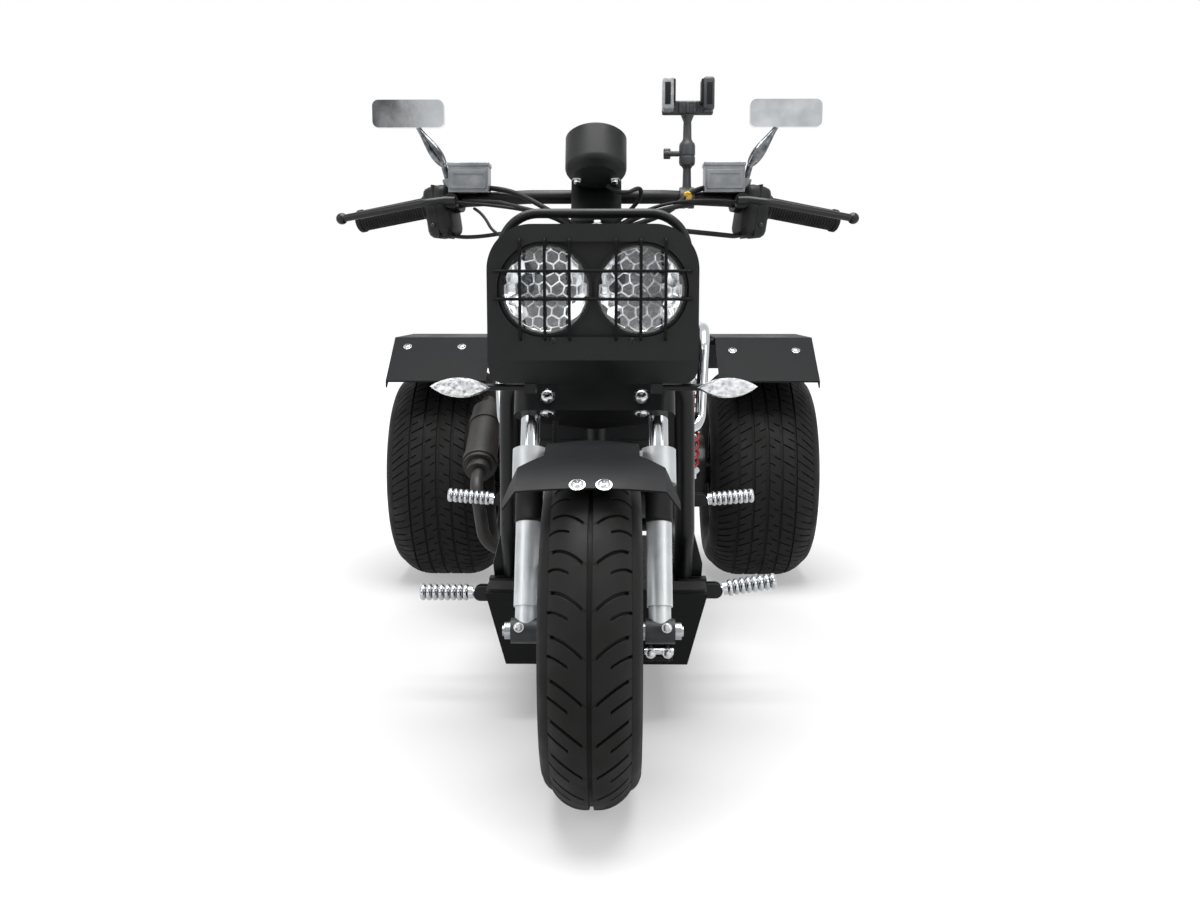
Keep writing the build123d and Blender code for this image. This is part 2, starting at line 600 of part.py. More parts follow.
# Splash plate between the front risers: its upper and lower edge, behind and up
SPLASH = ((344, 540), (371, 392))
SPLASH_T = 4
splash_high = spot(0, *SPLASH[0])
splash_low = spot(0, *SPLASH[1])
splash_way = (splash_high - splash_low).normalized()
splash_plane = Plane(
    origin=(splash_high + splash_low) / 2, x_dir=(1, 0, 0), z_dir=(0, -splash_way.Z, splash_way.Y)
)
with BuildPart() as main_frame:
    rod(steer_spot(0, 0, HEAD_TUBE_FOOT), steer_spot(0, 0, HEAD_TUBE_TOP), HEAD_TUBE_R)
    for side in (-1, 1):
        tube([spot(side * x, d, z) for x, d, z in SIDE_LOOP], RAIL_R, SIDE_BENDS)
    tube([spot(x, d, z) for x, d, z in DOWN_TUBE], RAIL_R, [90])
    for distance, z, half in CROSS_TUBES:
        rod(spot(-half, distance, z), spot(half, distance, z), CROSS_R)
    for side in (-1, 1):
        block(sorted((side * 126, side * 138)), (PIVOT_D - 70, PIVOT_D + 24), (PIVOT_Z - 24, PIVOT_Z + 24))
        rod(spot(side * 126, PIVOT_D, PIVOT_Z), spot(side * 168, PIVOT_D, PIVOT_Z), PIVOT_R)
        rod(spot(side * SEAT_RAIL_X, *SHOCK_TOP), spot(side * 208, *SHOCK_TOP), SHOCK_PIN_R)
        ear = sorted((side * (HINGE_HALF + 1), side * (HINGE_HALF + 7)))
        block(ear, (HINGE_D, HINGE_D + 30), (524, HINGE_Z))
        rod(spot(ear[0], HINGE_D, HINGE_Z), spot(ear[1], HINGE_D, HINGE_Z), 8)
        with BuildSketch(gusset_plane) as gusset:
            with BuildLine():
                Polyline(*[(side * (RAIL_X + wide), along) for wide, along in GUSSET], close=True)
            make_face()
        extrude(gusset.sketch, amount=GUSSET_T / 2, both=True)
    with BuildSketch(splash_plane) as splash:
        RectangleRounded(2 * SIDE_LOOP[1][0], (splash_high - splash_low).length, 12)
    extrude(splash.sketch, amount=SPLASH_T / 2, both=True)
    rod(spot(-HINGE_HALF - 7, HINGE_D, HINGE_Z), spot(HINGE_HALF + 7, HINGE_D, HINGE_Z), HINGE_R)
    for name, side, distance, z, tilt in PEGS:
        root = sorted((side * (RAIL_X - 8), side * (PEG_PIVOT_X - 16)))
        half = PEG_EAR_GAP / 2 + PEG_EAR_T
        if "front" in name:
            block(root, (distance - half, distance + half), (PAN_TOP_Z + 2, RAIL_Z + 8))
        else:
            block(root, (distance - half - 22, distance + half), (z - 10, z + 10))
        for end in (-1, 1):
            near = distance + end * PEG_EAR_GAP / 2
            far = distance + end * half
            ear = span(side, PEG_PIVOT_X - 24, PEG_PIVOT_X)
            block(ear, sorted((near, far)), (z - EAR_R, z + EAR_R))
            rod(spot(side * PEG_PIVOT_X, near, z), spot(side * PEG_PIVOT_X, far, z), EAR_R)
        pin_front = spot(side * PEG_PIVOT_X, distance - half, z)
        rod(pin_front, spot(side * PEG_PIVOT_X, distance + half, z), PEG_PIN_R)
    bore_foot = steer_spot(0, 0, HEAD_TUBE_FOOT - 30)
    rod(bore_foot, steer_spot(0, 0, HEAD_TUBE_TOP + 30), STEM_R + RUNNING, mode=Mode.SUBTRACT)
keep(main_frame, "main_frame")

# Folding foot pegs with a coiled tread
PEG_COILS = 8
PEG_COIL = 11
PEG_CORE_R = 10
PEG_R = 15
PEG_START = 22
for name, side, distance, z, tilt in PEGS:
    lean = radians(tilt)
    way = Vector(side * cos(lean), 0, sin(lean))
    with BuildPart() as peg:
        centre = spot(side * PEG_PIVOT_X, distance, z)
        gap = PEG_EAR_GAP / 2 - 0.4
        rod(centre - Vector(0, gap, 0), centre + Vector(0, gap, 0), EAR_R - 2)
        rod(centre, centre + way * (PEG_START - 2), gap)
        rod(centre + way * 15, centre + way * (PEG_START + 2), PEG_CORE_R + 2)
        with BuildSketch(Plane(origin=centre, x_dir=way, z_dir=(0, -1, 0))) as coil:
            with BuildLine():
                Line((PEG_START, 0), (PEG_START, PEG_CORE_R))
                for turn in range(PEG_COILS):
                    begin = PEG_START + turn * PEG_COIL
                    ThreePointArc(
                        (begin, PEG_CORE_R), (begin + PEG_COIL / 2, PEG_R), (begin + PEG_COIL, PEG_CORE_R)
                    )
                Line((begin + PEG_COIL, PEG_CORE_R), (begin + PEG_COIL, 0))
                Line((begin + PEG_COIL, 0), (PEG_START, 0))
            make_face()
        revolve(axis=Axis(centre, way))
        rod(
            centre - Vector(0, gap + 1, 0), centre + Vector(0, gap + 1, 0), PEG_PIN_R + RUNNING,
            mode=Mode.SUBTRACT,
        )
    keep(peg, "footpeg_" + name)

# Floor board and belly pan
FLOOR_T = 6
FLOOR_HALF = 185
FLOOR_FRONT = 292
FLOOR_BACK = KNEE_D - 101
PAN_HALF_LOW = 150
PAN_HALF_TOP = 174
PAN_LOW_Z = 101
PAN_FRONT = 286
PAN_T = 4
floor_cut = (FLOOR_Z - 1, FLOOR_Z + FLOOR_T + 1)
with BuildPart() as floor_board:
    block((-FLOOR_HALF, FLOOR_HALF), (FLOOR_FRONT, FLOOR_BACK), (FLOOR_Z, FLOOR_Z + FLOOR_T))
    fillet(floor_board.edges().filter_by(Axis.Z), 18)
    for side in (-1, 1):
        for ends in ((350, 490), (FLOOR_BACK - 45, FLOOR_BACK + 25)):
            block(span(side, 128, FLOOR_HALF + 15), ends, floor_cut, mode=Mode.SUBTRACT)
    block((-20, 20), (370, 445), floor_cut, mode=Mode.SUBTRACT)
keep(floor_board, "floor_board")


def pan_slice(z, half, front, rear):
    """Draws one level of the belly pan."""
    with BuildSketch(Plane.XY.offset(z)) as level:
        with Locations((0, back((front + rear) / 2))):
            Rectangle(2 * half, rear - front)
    return level.sketch


with BuildPart() as belly_pan:
    loft(
        [
            pan_slice(PAN_LOW_Z, PAN_HALF_LOW, PAN_FRONT + 14, FLOOR_BACK),
            pan_slice(PAN_TOP_Z, PAN_HALF_TOP, PAN_FRONT + 6, FLOOR_BACK + 10),
        ]
    )
    loft(
        [
            pan_slice(PAN_LOW_Z + PAN_T, PAN_HALF_LOW - PAN_T, PAN_FRONT + 14 + PAN_T, FLOOR_BACK - PAN_T),
            pan_slice(PAN_TOP_Z, PAN_HALF_TOP - PAN_T, PAN_FRONT + 6 + PAN_T, FLOOR_BACK + 10 - PAN_T),
        ],
        mode=Mode.SUBTRACT,
    )
    with BuildSketch(facing_front(PAN_FRONT)):
        with BuildLine():
            Polyline(
                (-PAN_HALF_LOW - 2, PAN_LOW_Z), (PAN_HALF_LOW + 2, PAN_LOW_Z), (FLOOR_HALF, FLOOR_Z),
                (-FLOOR_HALF, FLOOR_Z), close=True,
            )
        make_face()
    extrude(amount=-15)
keep(belly_pan, "belly_pan")

# Headlamp fairing, its hoop, the lamps and their wire guard
FAIRING_HALF = 146
FAIRING_LOW = 590
FAIRING_TOP = 811
FAIRING_FRONT = 12
FAIRING_BACK = 110
FAIRING_T = 4
FAIRING_CORNER = 62
POCKET_DEPTH = 14
LAMP_X = 66
LAMP_Z = 722
LAMP_R = 63
POCKET = (264, 130)
CHIN_TOP = 625
LAMP_SEAT = FAIRING_FRONT + POCKET_DEPTH
LENS_R = LAMP_R - 2.5
BOWL_R = LAMP_R - 2
CHIN_BACK = 52


def fairing_outline(distance, inset):
    """Draws the fairing's outline seen from ahead, drawn in by the inset."""
    with BuildSketch(facing_front(distance)) as outline:
        with Locations((0, (FAIRING_LOW + FAIRING_TOP) / 2)):
            Rectangle(2 * (FAIRING_HALF - inset), FAIRING_TOP - FAIRING_LOW - 2 * inset)
        fillet(outline.vertices().group_by(Axis.Y)[-1], FAIRING_CORNER - inset)
        fillet(outline.vertices().group_by(Axis.Y)[0], 20)
    return outline.sketch


def chin_cut(shift):
    """Cuts the sloping chin away below the lamps, moved back by the shift."""
    with BuildSketch(facing_left(0)) as wedge:
        with BuildLine():
            Polyline(
                (back(FAIRING_FRONT - 20), CHIN_TOP), (back(FAIRING_FRONT + shift), CHIN_TOP),
                (back(CHIN_BACK + shift), FAIRING_LOW - 5), (back(FAIRING_FRONT - 20), FAIRING_LOW - 5),
                close=True,
            )
        make_face()
    extrude(wedge.sketch, amount=FAIRING_HALF + 20, both=True, mode=Mode.SUBTRACT)


with BuildPart() as fairing_inside:
    inside_front = FAIRING_FRONT + POCKET_DEPTH + FAIRING_T
    extrude(fairing_outline(inside_front, FAIRING_T), amount=-(FAIRING_BACK - inside_front + 1))
    mouth = FAIRING_HALF - FAIRING_T - 16
    block((-mouth, mouth), (inside_front, FAIRING_BACK + 1), (FAIRING_LOW - 10, FAIRING_LOW + 30))
    chin_cut(inside_front - FAIRING_FRONT - 10)

with BuildPart() as headlamp_fairing:
    extrude(fairing_outline(FAIRING_FRONT, 0), amount=-(FAIRING_BACK - FAIRING_FRONT))
    chin_cut(0)
    with BuildSketch(facing_front(FAIRING_FRONT)):
        with Locations((0, LAMP_Z)):
            RectangleRounded(*POCKET, POCKET[1] / 2 - 1)
    extrude(amount=-POCKET_DEPTH, mode=Mode.SUBTRACT)
    add(fairing_inside.part, mode=Mode.SUBTRACT)
    for side in (-1, 1):
        rod(spot(side * LAMP_X, 0, LAMP_Z), spot(side * LAMP_X, 60, LAMP_Z), BOWL_R, mode=Mode.SUBTRACT)
keep(headlamp_fairing, "headlamp_fairing")

with BuildPart() as headlamp_bowls:
    for side in (-1, 1):
        with BuildSketch(
            Plane(origin=spot(side * LAMP_X, 0, LAMP_Z), x_dir=(1, 0, 0), z_dir=(0, 0, 1))
        ):
            with BuildLine():
                Polyline(
                    (0, 105), (26, 105), (BOWL_R, 62), (BOWL_R, LAMP_SEAT), (LAMP_R + 1, LAMP_SEAT),
                    (LAMP_R + 1, LAMP_SEAT - 6), (LENS_R, LAMP_SEAT - 6), (LENS_R, LAMP_SEAT - 2),
                    (BOWL_R - 3, LAMP_SEAT - 2), (BOWL_R - 3, 60), (24, 101), (0, 101), close=True,
                )
            make_face()
        revolve(axis=Axis(spot(side * LAMP_X, 0, LAMP_Z), (0, 1, 0)))
keep(headlamp_bowls, "headlamp_bowls")

LENS_RISE = 8
with BuildPart() as headlamp_lenses:
    dome_r = (LENS_R ** 2 + LENS_RISE ** 2) / (2 * LENS_RISE)
    half_rise = dome_r - (dome_r ** 2 - LENS_R ** 2 / 4) ** 0.5
    for side in (-1, 1):
        with BuildSketch(
            Plane(origin=spot(side * LAMP_X, 0, LAMP_Z), x_dir=(1, 0, 0), z_dir=(0, 0, 1))
        ):
            with BuildLine():
                Line((0, LAMP_SEAT - 10), (0, LAMP_SEAT - 14))
                ThreePointArc(
                    (0, LAMP_SEAT - 14), (LENS_R / 2, LAMP_SEAT - 14 + half_rise), (LENS_R, LAMP_SEAT - 6)
                )
                Line((LENS_R, LAMP_SEAT - 6), (LENS_R, LAMP_SEAT - 2))
                ThreePointArc(
                    (LENS_R, LAMP_SEAT - 2), (LENS_R / 2, LAMP_SEAT - 10 + half_rise), (0, LAMP_SEAT - 10)
                )
            make_face()
        revolve(axis=Axis(spot(side * LAMP_X, 0, LAMP_Z), (0, 1, 0)))
keep(headlamp_lenses, "headlamp_lenses")

WIRE_R = 2.2
WIRE_D = FAIRING_FRONT - 7
WIRE_REACH = POCKET[1] / 2 + 3
WIRE_HALF = POCKET[0] / 2 + 3
with BuildPart() as headlamp_guards:
    for lamp in (-LAMP_X, LAMP_X):
        for shift in (-34, 0, 34):
            tube(
                [
                    spot(lamp + shift, FAIRING_FRONT, LAMP_Z + WIRE_REACH),
                    spot(lamp + shift, WIRE_D, LAMP_Z + WIRE_REACH),
                    spot(lamp + shift, WIRE_D, LAMP_Z - WIRE_REACH),
                    spot(lamp + shift, FAIRING_FRONT, LAMP_Z - WIRE_REACH),
                ],
                WIRE_R, [4, 4],
            )
    for rise in (25, -13):
        tube(
            [
                spot(-WIRE_HALF, FAIRING_FRONT, LAMP_Z + rise), spot(-WIRE_HALF, WIRE_D, LAMP_Z + rise),
                spot(WIRE_HALF, WIRE_D, LAMP_Z + rise), spot(WIRE_HALF, FAIRING_FRONT, LAMP_Z + rise),
            ],
            WIRE_R, [4, 4],
        )
keep(headlamp_guards, "headlamp_guards")

HOOP_R = 7
HOOP_HALF = 136
HOOP_TOP = 832
HOOP_LOW = 664
HOOP_D = FAIRING_BACK + HOOP_R + 2
with BuildPart() as fairing_hoop:
    tube(
        [
            spot(-12, 226, HOOP_LOW), spot(-HOOP_HALF, HOOP_D, HOOP_LOW), spot(-HOOP_HALF, HOOP_D, HOOP_TOP),
            spot(HOOP_HALF, HOOP_D, HOOP_TOP), spot(HOOP_HALF, HOOP_D, HOOP_LOW), spot(12, 226, HOOP_LOW),
        ],
        HOOP_R, [30, 55, 55, 30],
    )
    for side in (-1, 1):
        for z in (700, 735):
            tab = sorted((side * HOOP_HALF, side * (FAIRING_HALF - FAIRING_T)))
            block(tab, (FAIRING_BACK - 22, HOOP_D + 2), (z - 9, z + 9))
    rod(steer_spot(0, 0, HEAD_TUBE_FOOT), steer_spot(0, 0, HEAD_TUBE_TOP), HEAD_TUBE_R, mode=Mode.SUBTRACT)
keep(fairing_hoop, "fairing_hoop")

# Turn signals: leaf-shaped pods ahead, the same pods on stalks at the tail
TAIL_D = RAIL_END
TAIL_T = 5
FRONT_SIGNAL = (50, FAIRING_LOW - 6, FAIRING_HALF + 1)
REAR_SIGNAL = (TAIL_D + TAIL_T + 7.5, 535, 108)
SIGNALS = [(side, *FRONT_SIGNAL, -1) for side in (1, -1)] + [(side, *REAR_SIGNAL, 1) for side in (1, -1)]
SIGNAL_LONG = 86
SIGNAL_HALF_H = 14
SIGNAL_DEPTH = 24
SIGNAL_LENS = 7


def signal_leaf(side, distance, z, start):
    """Draws the pointed leaf outline of a turn signal seen from ahead."""
    with BuildSketch(facing_front(distance)) as leaf:
        with BuildLine():
            near = (side * start, z)
            far = (side * (start + SIGNAL_LONG), z + 2)
            middle = side * (start + 0.42 * SIGNAL_LONG)
            ThreePointArc(near, (middle, z + SIGNAL_HALF_H), far)
            ThreePointArc(far, (middle, z - SIGNAL_HALF_H), near)
        make_face()
    return leaf.sketch


with BuildPart() as turn_signals:
    for side, distance, z, start, way in SIGNALS:
        extrude(signal_leaf(side, distance, z, start), amount=-way * -SIGNAL_DEPTH, taper=14)
        inner = 86 if way < 0 else 100
        stem_d = distance - way * 10
        rod(spot(side * inner, stem_d, z), spot(side * (start + 20), stem_d, z), 5)
        if way < 0:
            block(span(side, inner - 4, inner + 12), (distance - 4, distance + 18), (z - 8, FAIRING_LOW))
keep(turn_signals, "turn_signals")

with BuildPart() as signal_lenses:
    for side, distance, z, start, way in SIGNALS:
        extrude(signal_leaf(side, distance, z, start), amount=-way * SIGNAL_LENS, taper=20)
keep(signal_lenses, "signal_lenses")

# Engine, belt case, air cleaner and exhaust
CRANK_X = (-95, 60)
CRANK_FRONT = WHEELBASE - 360
CRANK_LONG = 180
CRANK_D = (CRANK_FRONT, CRANK_FRONT + CRANK_LONG)
CRANK_Z = (200, 400)
HEAD_D = CRANK_FRONT - 130
AIR_Z = (392, 476)
CYL_X = -20
CYL_Z = 300
BELT_X = (60, 125)
BELT_FRONT = (WHEELBASE - 320, 294, 92)
BELT_REAR = (WHEELBASE - 167, 275, 76)
GEAR_D = WHEELBASE - 85
with BuildPart() as engine_crankcase:
    block(CRANK_X, CRANK_D, CRANK_Z)
    fillet(engine_crankcase.edges().filter_by(Axis.X), 34)
    block((-40, CRANK_X[1]), (CRANK_D[1] - 10, GEAR_D), (215, 320))
    rod(spot(CRANK_X[0], CRANK_D[0] + 65, 290), spot(CRANK_X[0] - 29, CRANK_D[0] + 65, 290), 70)
keep(engine_crankcase, "engine_crankcase")

with BuildPart() as engine_cylinder:
    block((CYL_X - 44, CYL_X + 44), (HEAD_D + 16, CRANK_D[0]), (CYL_Z - 44, CYL_Z + 44))
    for fin in range(7):
        front = HEAD_D + 24 + fin * 14
        block((CYL_X - 62, CYL_X + 62), (front, front + 5), (CYL_Z - 62, CYL_Z + 62))
    block((CYL_X - 50, CYL_X + 50), (HEAD_D - 22, HEAD_D + 18), (CYL_Z - 50, CYL_Z + 50))
    rod(spot(CYL_X, HEAD_D, CYL_Z - 50), spot(CYL_X, HEAD_D, CYL_Z - 58), 20)
keep(engine_cylinder, "engine_cylinder")

with BuildPart() as belt_case:
    with BuildSketch(facing_left(BELT_X[0])):
        for distance, z, radius in (BELT_FRONT, BELT_REAR):
            with Locations((back(distance), z)):
                Circle(radius)
        make_hull()
    extrude(amount=BELT_X[1] - BELT_X[0])
    fillet(belt_case.faces().sort_by(Axis.X)[-1].edges(), 12)
    for distance in (BELT_FRONT[0] + 60, BELT_REAR[0] + 37):
        block((80, 106), (distance - 9, distance + 9), (320, AIR_Z[0]))
keep(belt_case, "belt_case")

with BuildPart() as air_cleaner:
    block((64, 126), (BELT_FRONT[0] + 36, BELT_REAR[0] + 61), AIR_Z)
    fillet(air_cleaner.edges(), 14)
keep(air_cleaner, "air_cleaner")

HEADER_R = 14
MUFFLER_R = 36
MUFFLER_X = -268
MUFFLER_FRONT = spot(MUFFLER_X, HEAD_D + 25, 330)
MUFFLER_BACK = spot(MUFFLER_X, HEAD_D + 228, 440)
muffler_way = (MUFFLER_BACK - MUFFLER_FRONT).normalized()
with BuildPart() as exhaust_pipe:
    inlet = MUFFLER_FRONT
    tube(
        [
            spot(CYL_X, HEAD_D, CYL_Z - 58), spot(CYL_X, HEAD_D, 168),
            spot(MUFFLER_X + 18, HEAD_D - 12, 168), inlet - muffler_way * 48, inlet,
        ],
        HEADER_R, [40, 50, 30],
    )
keep(exhaust_pipe, "exhaust_pipe")

with BuildPart() as muffler:
    rod(MUFFLER_FRONT, MUFFLER_FRONT + muffler_way * 22, 26)
    rod(MUFFLER_FRONT + muffler_way * 20, MUFFLER_BACK, MUFFLER_R)
    rod(MUFFLER_FRONT + muffler_way * 30, MUFFLER_FRONT + muffler_way * 48, MUFFLER_R + 3)
    rod(MUFFLER_BACK - muffler_way * 60, MUFFLER_BACK - muffler_way * 42, MUFFLER_R + 3)
    rod(MUFFLER_BACK, MUFFLER_BACK + muffler_way * 46, 18)
    rod(MUFFLER_BACK + muffler_way * 6, MUFFLER_BACK + muffler_way * 50, 15, mode=Mode.SUBTRACT)
keep(muffler, "muffler")

# Swing arm, rear axle housing, shocks and springs
ARM_X = (139, 165)
AXLE_TUBE_R = 32
AXLE_TUBE_HALF = DRUM_INNER - 9
BRACE_D = CRANK_FRONT + 50
DIFF_R = 82
with BuildPart() as swing_arm:
    for side in (-1, 1):
        xs = sorted((side * ARM_X[0], side * ARM_X[1]))
        block(xs, (PIVOT_D, WHEELBASE), (PIVOT_Z - 25, PIVOT_Z + 25))
        rod(spot(side * ARM_X[0], PIVOT_D, PIVOT_Z), spot(side * ARM_X[1], PIVOT_D, PIVOT_Z), 25)
        rod(rear_spot(side * ARM_X[0]), rear_spot(side * ARM_X[1]), 48)
        rod(spot(side * ARM_X[1], *SHOCK_LOW), spot(side * 208, *SHOCK_LOW), SHOCK_PIN_R)
        rod(
            spot(side * (ARM_X[0] - 1), PIVOT_D, PIVOT_Z), spot(side * (ARM_X[1] + 1), PIVOT_D, PIVOT_Z),
            PIVOT_R, mode=Mode.SUBTRACT,
        )
    rod(spot(-ARM_X[0], BRACE_D, CRANK_Z[0] - 15), spot(ARM_X[0], BRACE_D, CRANK_Z[0] - 15), 15)
    for side in (-1, 1):
        cheek = span(side, ARM_X[0], ARM_X[0] + 8)
        block(cheek, (BRACE_D - 16, BRACE_D + 16), (CRANK_Z[0] - 30, PIVOT_Z))
    rod(rear_spot(-ARM_X[1] - 1), rear_spot(ARM_X[1] + 1), AXLE_TUBE_R, mode=Mode.SUBTRACT)
keep(swing_arm, "swing_arm")

with BuildPart() as rear_axle_housing:
    with BuildSketch(wheel_section(0, WHEELBASE, REAR_TYRE_R)):
        with BuildLine():
            Polyline(
                (-AXLE_TUBE_HALF, 0), (-AXLE_TUBE_HALF, AXLE_TUBE_R), (-104, AXLE_TUBE_R), (-52, DIFF_R),
                (52, DIFF_R), (104, AXLE_TUBE_R), (AXLE_TUBE_HALF, AXLE_TUBE_R), (AXLE_TUBE_HALF, 0),
                close=True,
            )
        make_face()
    revolve(axis=REAR_AXLE)
    for side in (-1, 1):
        rod(
            rear_spot(side * (SHAFT_INNER - 4)), rear_spot(side * (AXLE_TUBE_HALF + 1)), SHAFT_R + RUNNING,
            mode=Mode.SUBTRACT,
        )
keep(rear_axle_housing, "rear_axle_housing")

SPRING_R = 25
SPRING_WIRE_R = 4
SPRING_TURNS = 9
DAMPER_R = 14
SPRING_FOOT = 52
with BuildPart() as rear_shocks:
    for side in (-1, 1):
        low = spot(side * SHOCK_X, *SHOCK_LOW)
        top = spot(side * SHOCK_X, *SHOCK_TOP)
        way = (top - low).normalized()
        for end in (low, top):
            rod(end - Vector(12, 0, 0), end + Vector(12, 0, 0), 17)
        rod(low, top, DAMPER_R)
        rod(low + way * 40, low + way * SPRING_FOOT, SPRING_R + 5)
        rod(top - way * 50, top - way * 38, SPRING_R + 5)
        for end in (low, top):
            rod(end - Vector(20, 0, 0), end + Vector(20, 0, 0), SHOCK_PIN_R, mode=Mode.SUBTRACT)
keep(rear_shocks, "rear_shocks")

with BuildPart() as shock_springs:
    for side in (-1, 1):
        low = spot(side * SHOCK_X, *SHOCK_LOW)
        way = (spot(side * SHOCK_X, *SHOCK_TOP) - low).normalized()
        seat = low + way * (SPRING_FOOT + SPRING_WIRE_R)
        coil_long = (spot(side * SHOCK_X, *SHOCK_TOP) - low).length - 50 - SPRING_FOOT - 2 * SPRING_WIRE_R
        with BuildLine() as coil:
            Helix(coil_long / SPRING_TURNS, coil_long, SPRING_R, center=seat, direction=way)
        wire = coil.wires()[0]
        with BuildSketch(Plane(origin=wire @ 0, z_dir=wire % 0)) as ring:
            Circle(SPRING_WIRE_R)
        sweep(ring.sketch, path=wire, is_frenet=True)
keep(shock_springs, "shock_springs")

# Rear mudguards: bent sheet with a flat top and an outer skirt, on stays from the rails
FENDER_X = (REAR_WHEEL_X - 118, REAR_WHEEL_X + 116)
FENDER_T = 3
FENDER_SKIRT = 16
FENDER_TOP = 612
FENDER_BEND = 130
FENDER_LIP = (262, 516)
STAY_R = 9
STAY_ELBOW = FENDER_X[0] - 42
STAY_Z = FENDER_TOP - FENDER_T - STAY_R


def fender_line(drop):
    """Corner points of the bent mudguard seen from the side, lowered by the drop."""
    reach, lip = FENDER_LIP
    corners = [(-reach, lip), (-FENDER_BEND, FENDER_TOP), (FENDER_BEND, FENDER_TOP), (reach, lip)]
    return [(back(WHEELBASE + behind), z - drop) for behind, z in corners]


for name, side in REAR_SIDES.items():
    with BuildPart() as fender:
        inner, outer = side * FENDER_X[0], side * FENDER_X[1]
        with BuildSketch(Plane(origin=(inner, 0, 0), x_dir=(0, 1, 0), z_dir=(1, 0, 0))) as sheet:
            with BuildLine():
                Polyline(*fender_line(0), *fender_line(FENDER_T * 1.2)[::-1], close=True)
            make_face()
        extrude(amount=outer - inner)
        with BuildSketch(Plane(origin=(outer, 0, 0), x_dir=(0, 1, 0), z_dir=(1, 0, 0))) as skirt:
            with BuildLine():
                Polyline(*fender_line(0), *fender_line(FENDER_SKIRT)[::-1], close=True)
            make_face()
        extrude(amount=-side * FENDER_T)
        for distance in (WHEELBASE - 80, WHEELBASE + 80):
            elbow = spot(side * STAY_ELBOW, distance, STAY_Z)
            rod(spot(side * SEAT_RAIL_X, distance, SEAT_RAIL_Z), elbow, STAY_R)
            rod(elbow - Vector(side * 2, 0, 0), spot(side * (FENDER_X[1] - 18), distance, STAY_Z), STAY_R)
            strip = span(side, FENDER_X[0] + 8, FENDER_X[1] - 26)
            block(strip, (distance - STAY_R, distance + STAY_R), (STAY_Z, FENDER_TOP - FENDER_T))
        rod(
            spot(side * SEAT_RAIL_X, WHEELBASE - 170, SEAT_RAIL_Z),
            spot(side * SEAT_RAIL_X, RAIL_END - 1, SEAT_RAIL_Z), RAIL_R, mode=Mode.SUBTRACT,
        )
        inboard = span(side, 0, SEAT_RAIL_X)
        block(inboard, (WHEELBASE - 170, RAIL_END - 1), (500, 640), mode=Mode.SUBTRACT)
    keep(fender, "rear_mudguard_" + name)

# Fuel tank, seat, grab rail and tail
with BuildPart() as fuel_tank:
    block((-112, 112), (TANK_CROSS_D - 275, TANK_CROSS_D + 33), (484, SEAT_RAIL_Z - CROSS_R))
    fillet(fuel_tank.edges().filter_by(Axis.Z), 30)
    fillet(fuel_tank.faces().sort_by(Axis.Z)[0].edges(), 16)
keep(fuel_tank, "fuel_tank")

SEAT_FLOOR = SEAT_RAIL_Z + RAIL_R + 0.6
SEAT_PAN_T = 6
SEAT_HALF = 138
SEAT_FRONT = HINGE_D - 54
SEAT_BACK = WHEELBASE + 35
SEAT_LONG = SEAT_BACK - SEAT_FRONT
# Seat seen from the side: share of its length from the front, rise above the pan, bend as a share
SEAT_LINE = [
    (0, 0, 0), (0, 66, 0.05), (0.18, 88, 0.13), (0.455, 82, 0.098), (0.535, 128, 0.065), (1, 140, 0.055),
    (1, 0, 0),
]
with BuildPart() as seat_pan:
    pan_half = SEAT_HALF - 8
    block((-pan_half, pan_half), (SEAT_FRONT + 8, SEAT_BACK - 8), (SEAT_FLOOR, SEAT_FLOOR + SEAT_PAN_T))
    fillet(seat_pan.edges().filter_by(Axis.Z), 40)
    rod(spot(-HINGE_HALF, HINGE_D, HINGE_Z), spot(HINGE_HALF, HINGE_D, HINGE_Z), 10)
    block((-HINGE_HALF, HINGE_HALF), (HINGE_D - 10, HINGE_D + 10), (HINGE_Z, SEAT_FLOOR + 1))
    rod(
        spot(-HINGE_HALF - 1, HINGE_D, HINGE_Z), spot(HINGE_HALF + 1, HINGE_D, HINGE_Z), HINGE_R + RUNNING,
        mode=Mode.SUBTRACT,
    )
keep(seat_pan, "seat_pan")

with BuildPart() as seat_cushion:
    base = SEAT_FLOOR + SEAT_PAN_T
    with BuildSketch(facing_left(-SEAT_HALF)):
        with BuildLine():
            FilletPolyline(
                *[(back(SEAT_FRONT + share * SEAT_LONG), base + rise) for share, rise, bend in SEAT_LINE],
                radius=[bend * SEAT_LONG for share, rise, bend in SEAT_LINE[1:-1]], close=False,
            )
            Line((back(SEAT_BACK), base), (back(SEAT_FRONT), base))
        make_face()
    extrude(amount=2 * SEAT_HALF)
keep(seat_cushion, "seat_cushion")

RAIL_TUBE_R = 12
GRAB_D = RAIL_END - 44
with BuildPart() as grab_rail:
    tube(
        [
            spot(SEAT_RAIL_X, GRAB_D, SEAT_RAIL_Z), spot(SEAT_RAIL_X, GRAB_D, 640),
            spot(222, GRAB_D - 6, 648), spot(226, KNEE_D + 124, 640), spot(214, KNEE_D + 76, 430),
            spot(145, KNEE_D - 14, 430),
        ],
        RAIL_TUBE_R, [22, 50, 60, 40],
    )
    tube([spot(x, d, z) for x, d, z in SIDE_LOOP], RAIL_R, SIDE_BENDS, mode=Mode.SUBTRACT)
    mirror(about=Plane.YZ)
    rod(spot(-SEAT_RAIL_X, GRAB_D, 622), spot(SEAT_RAIL_X, GRAB_D, 622), 8)
keep(grab_rail, "grab_rail")

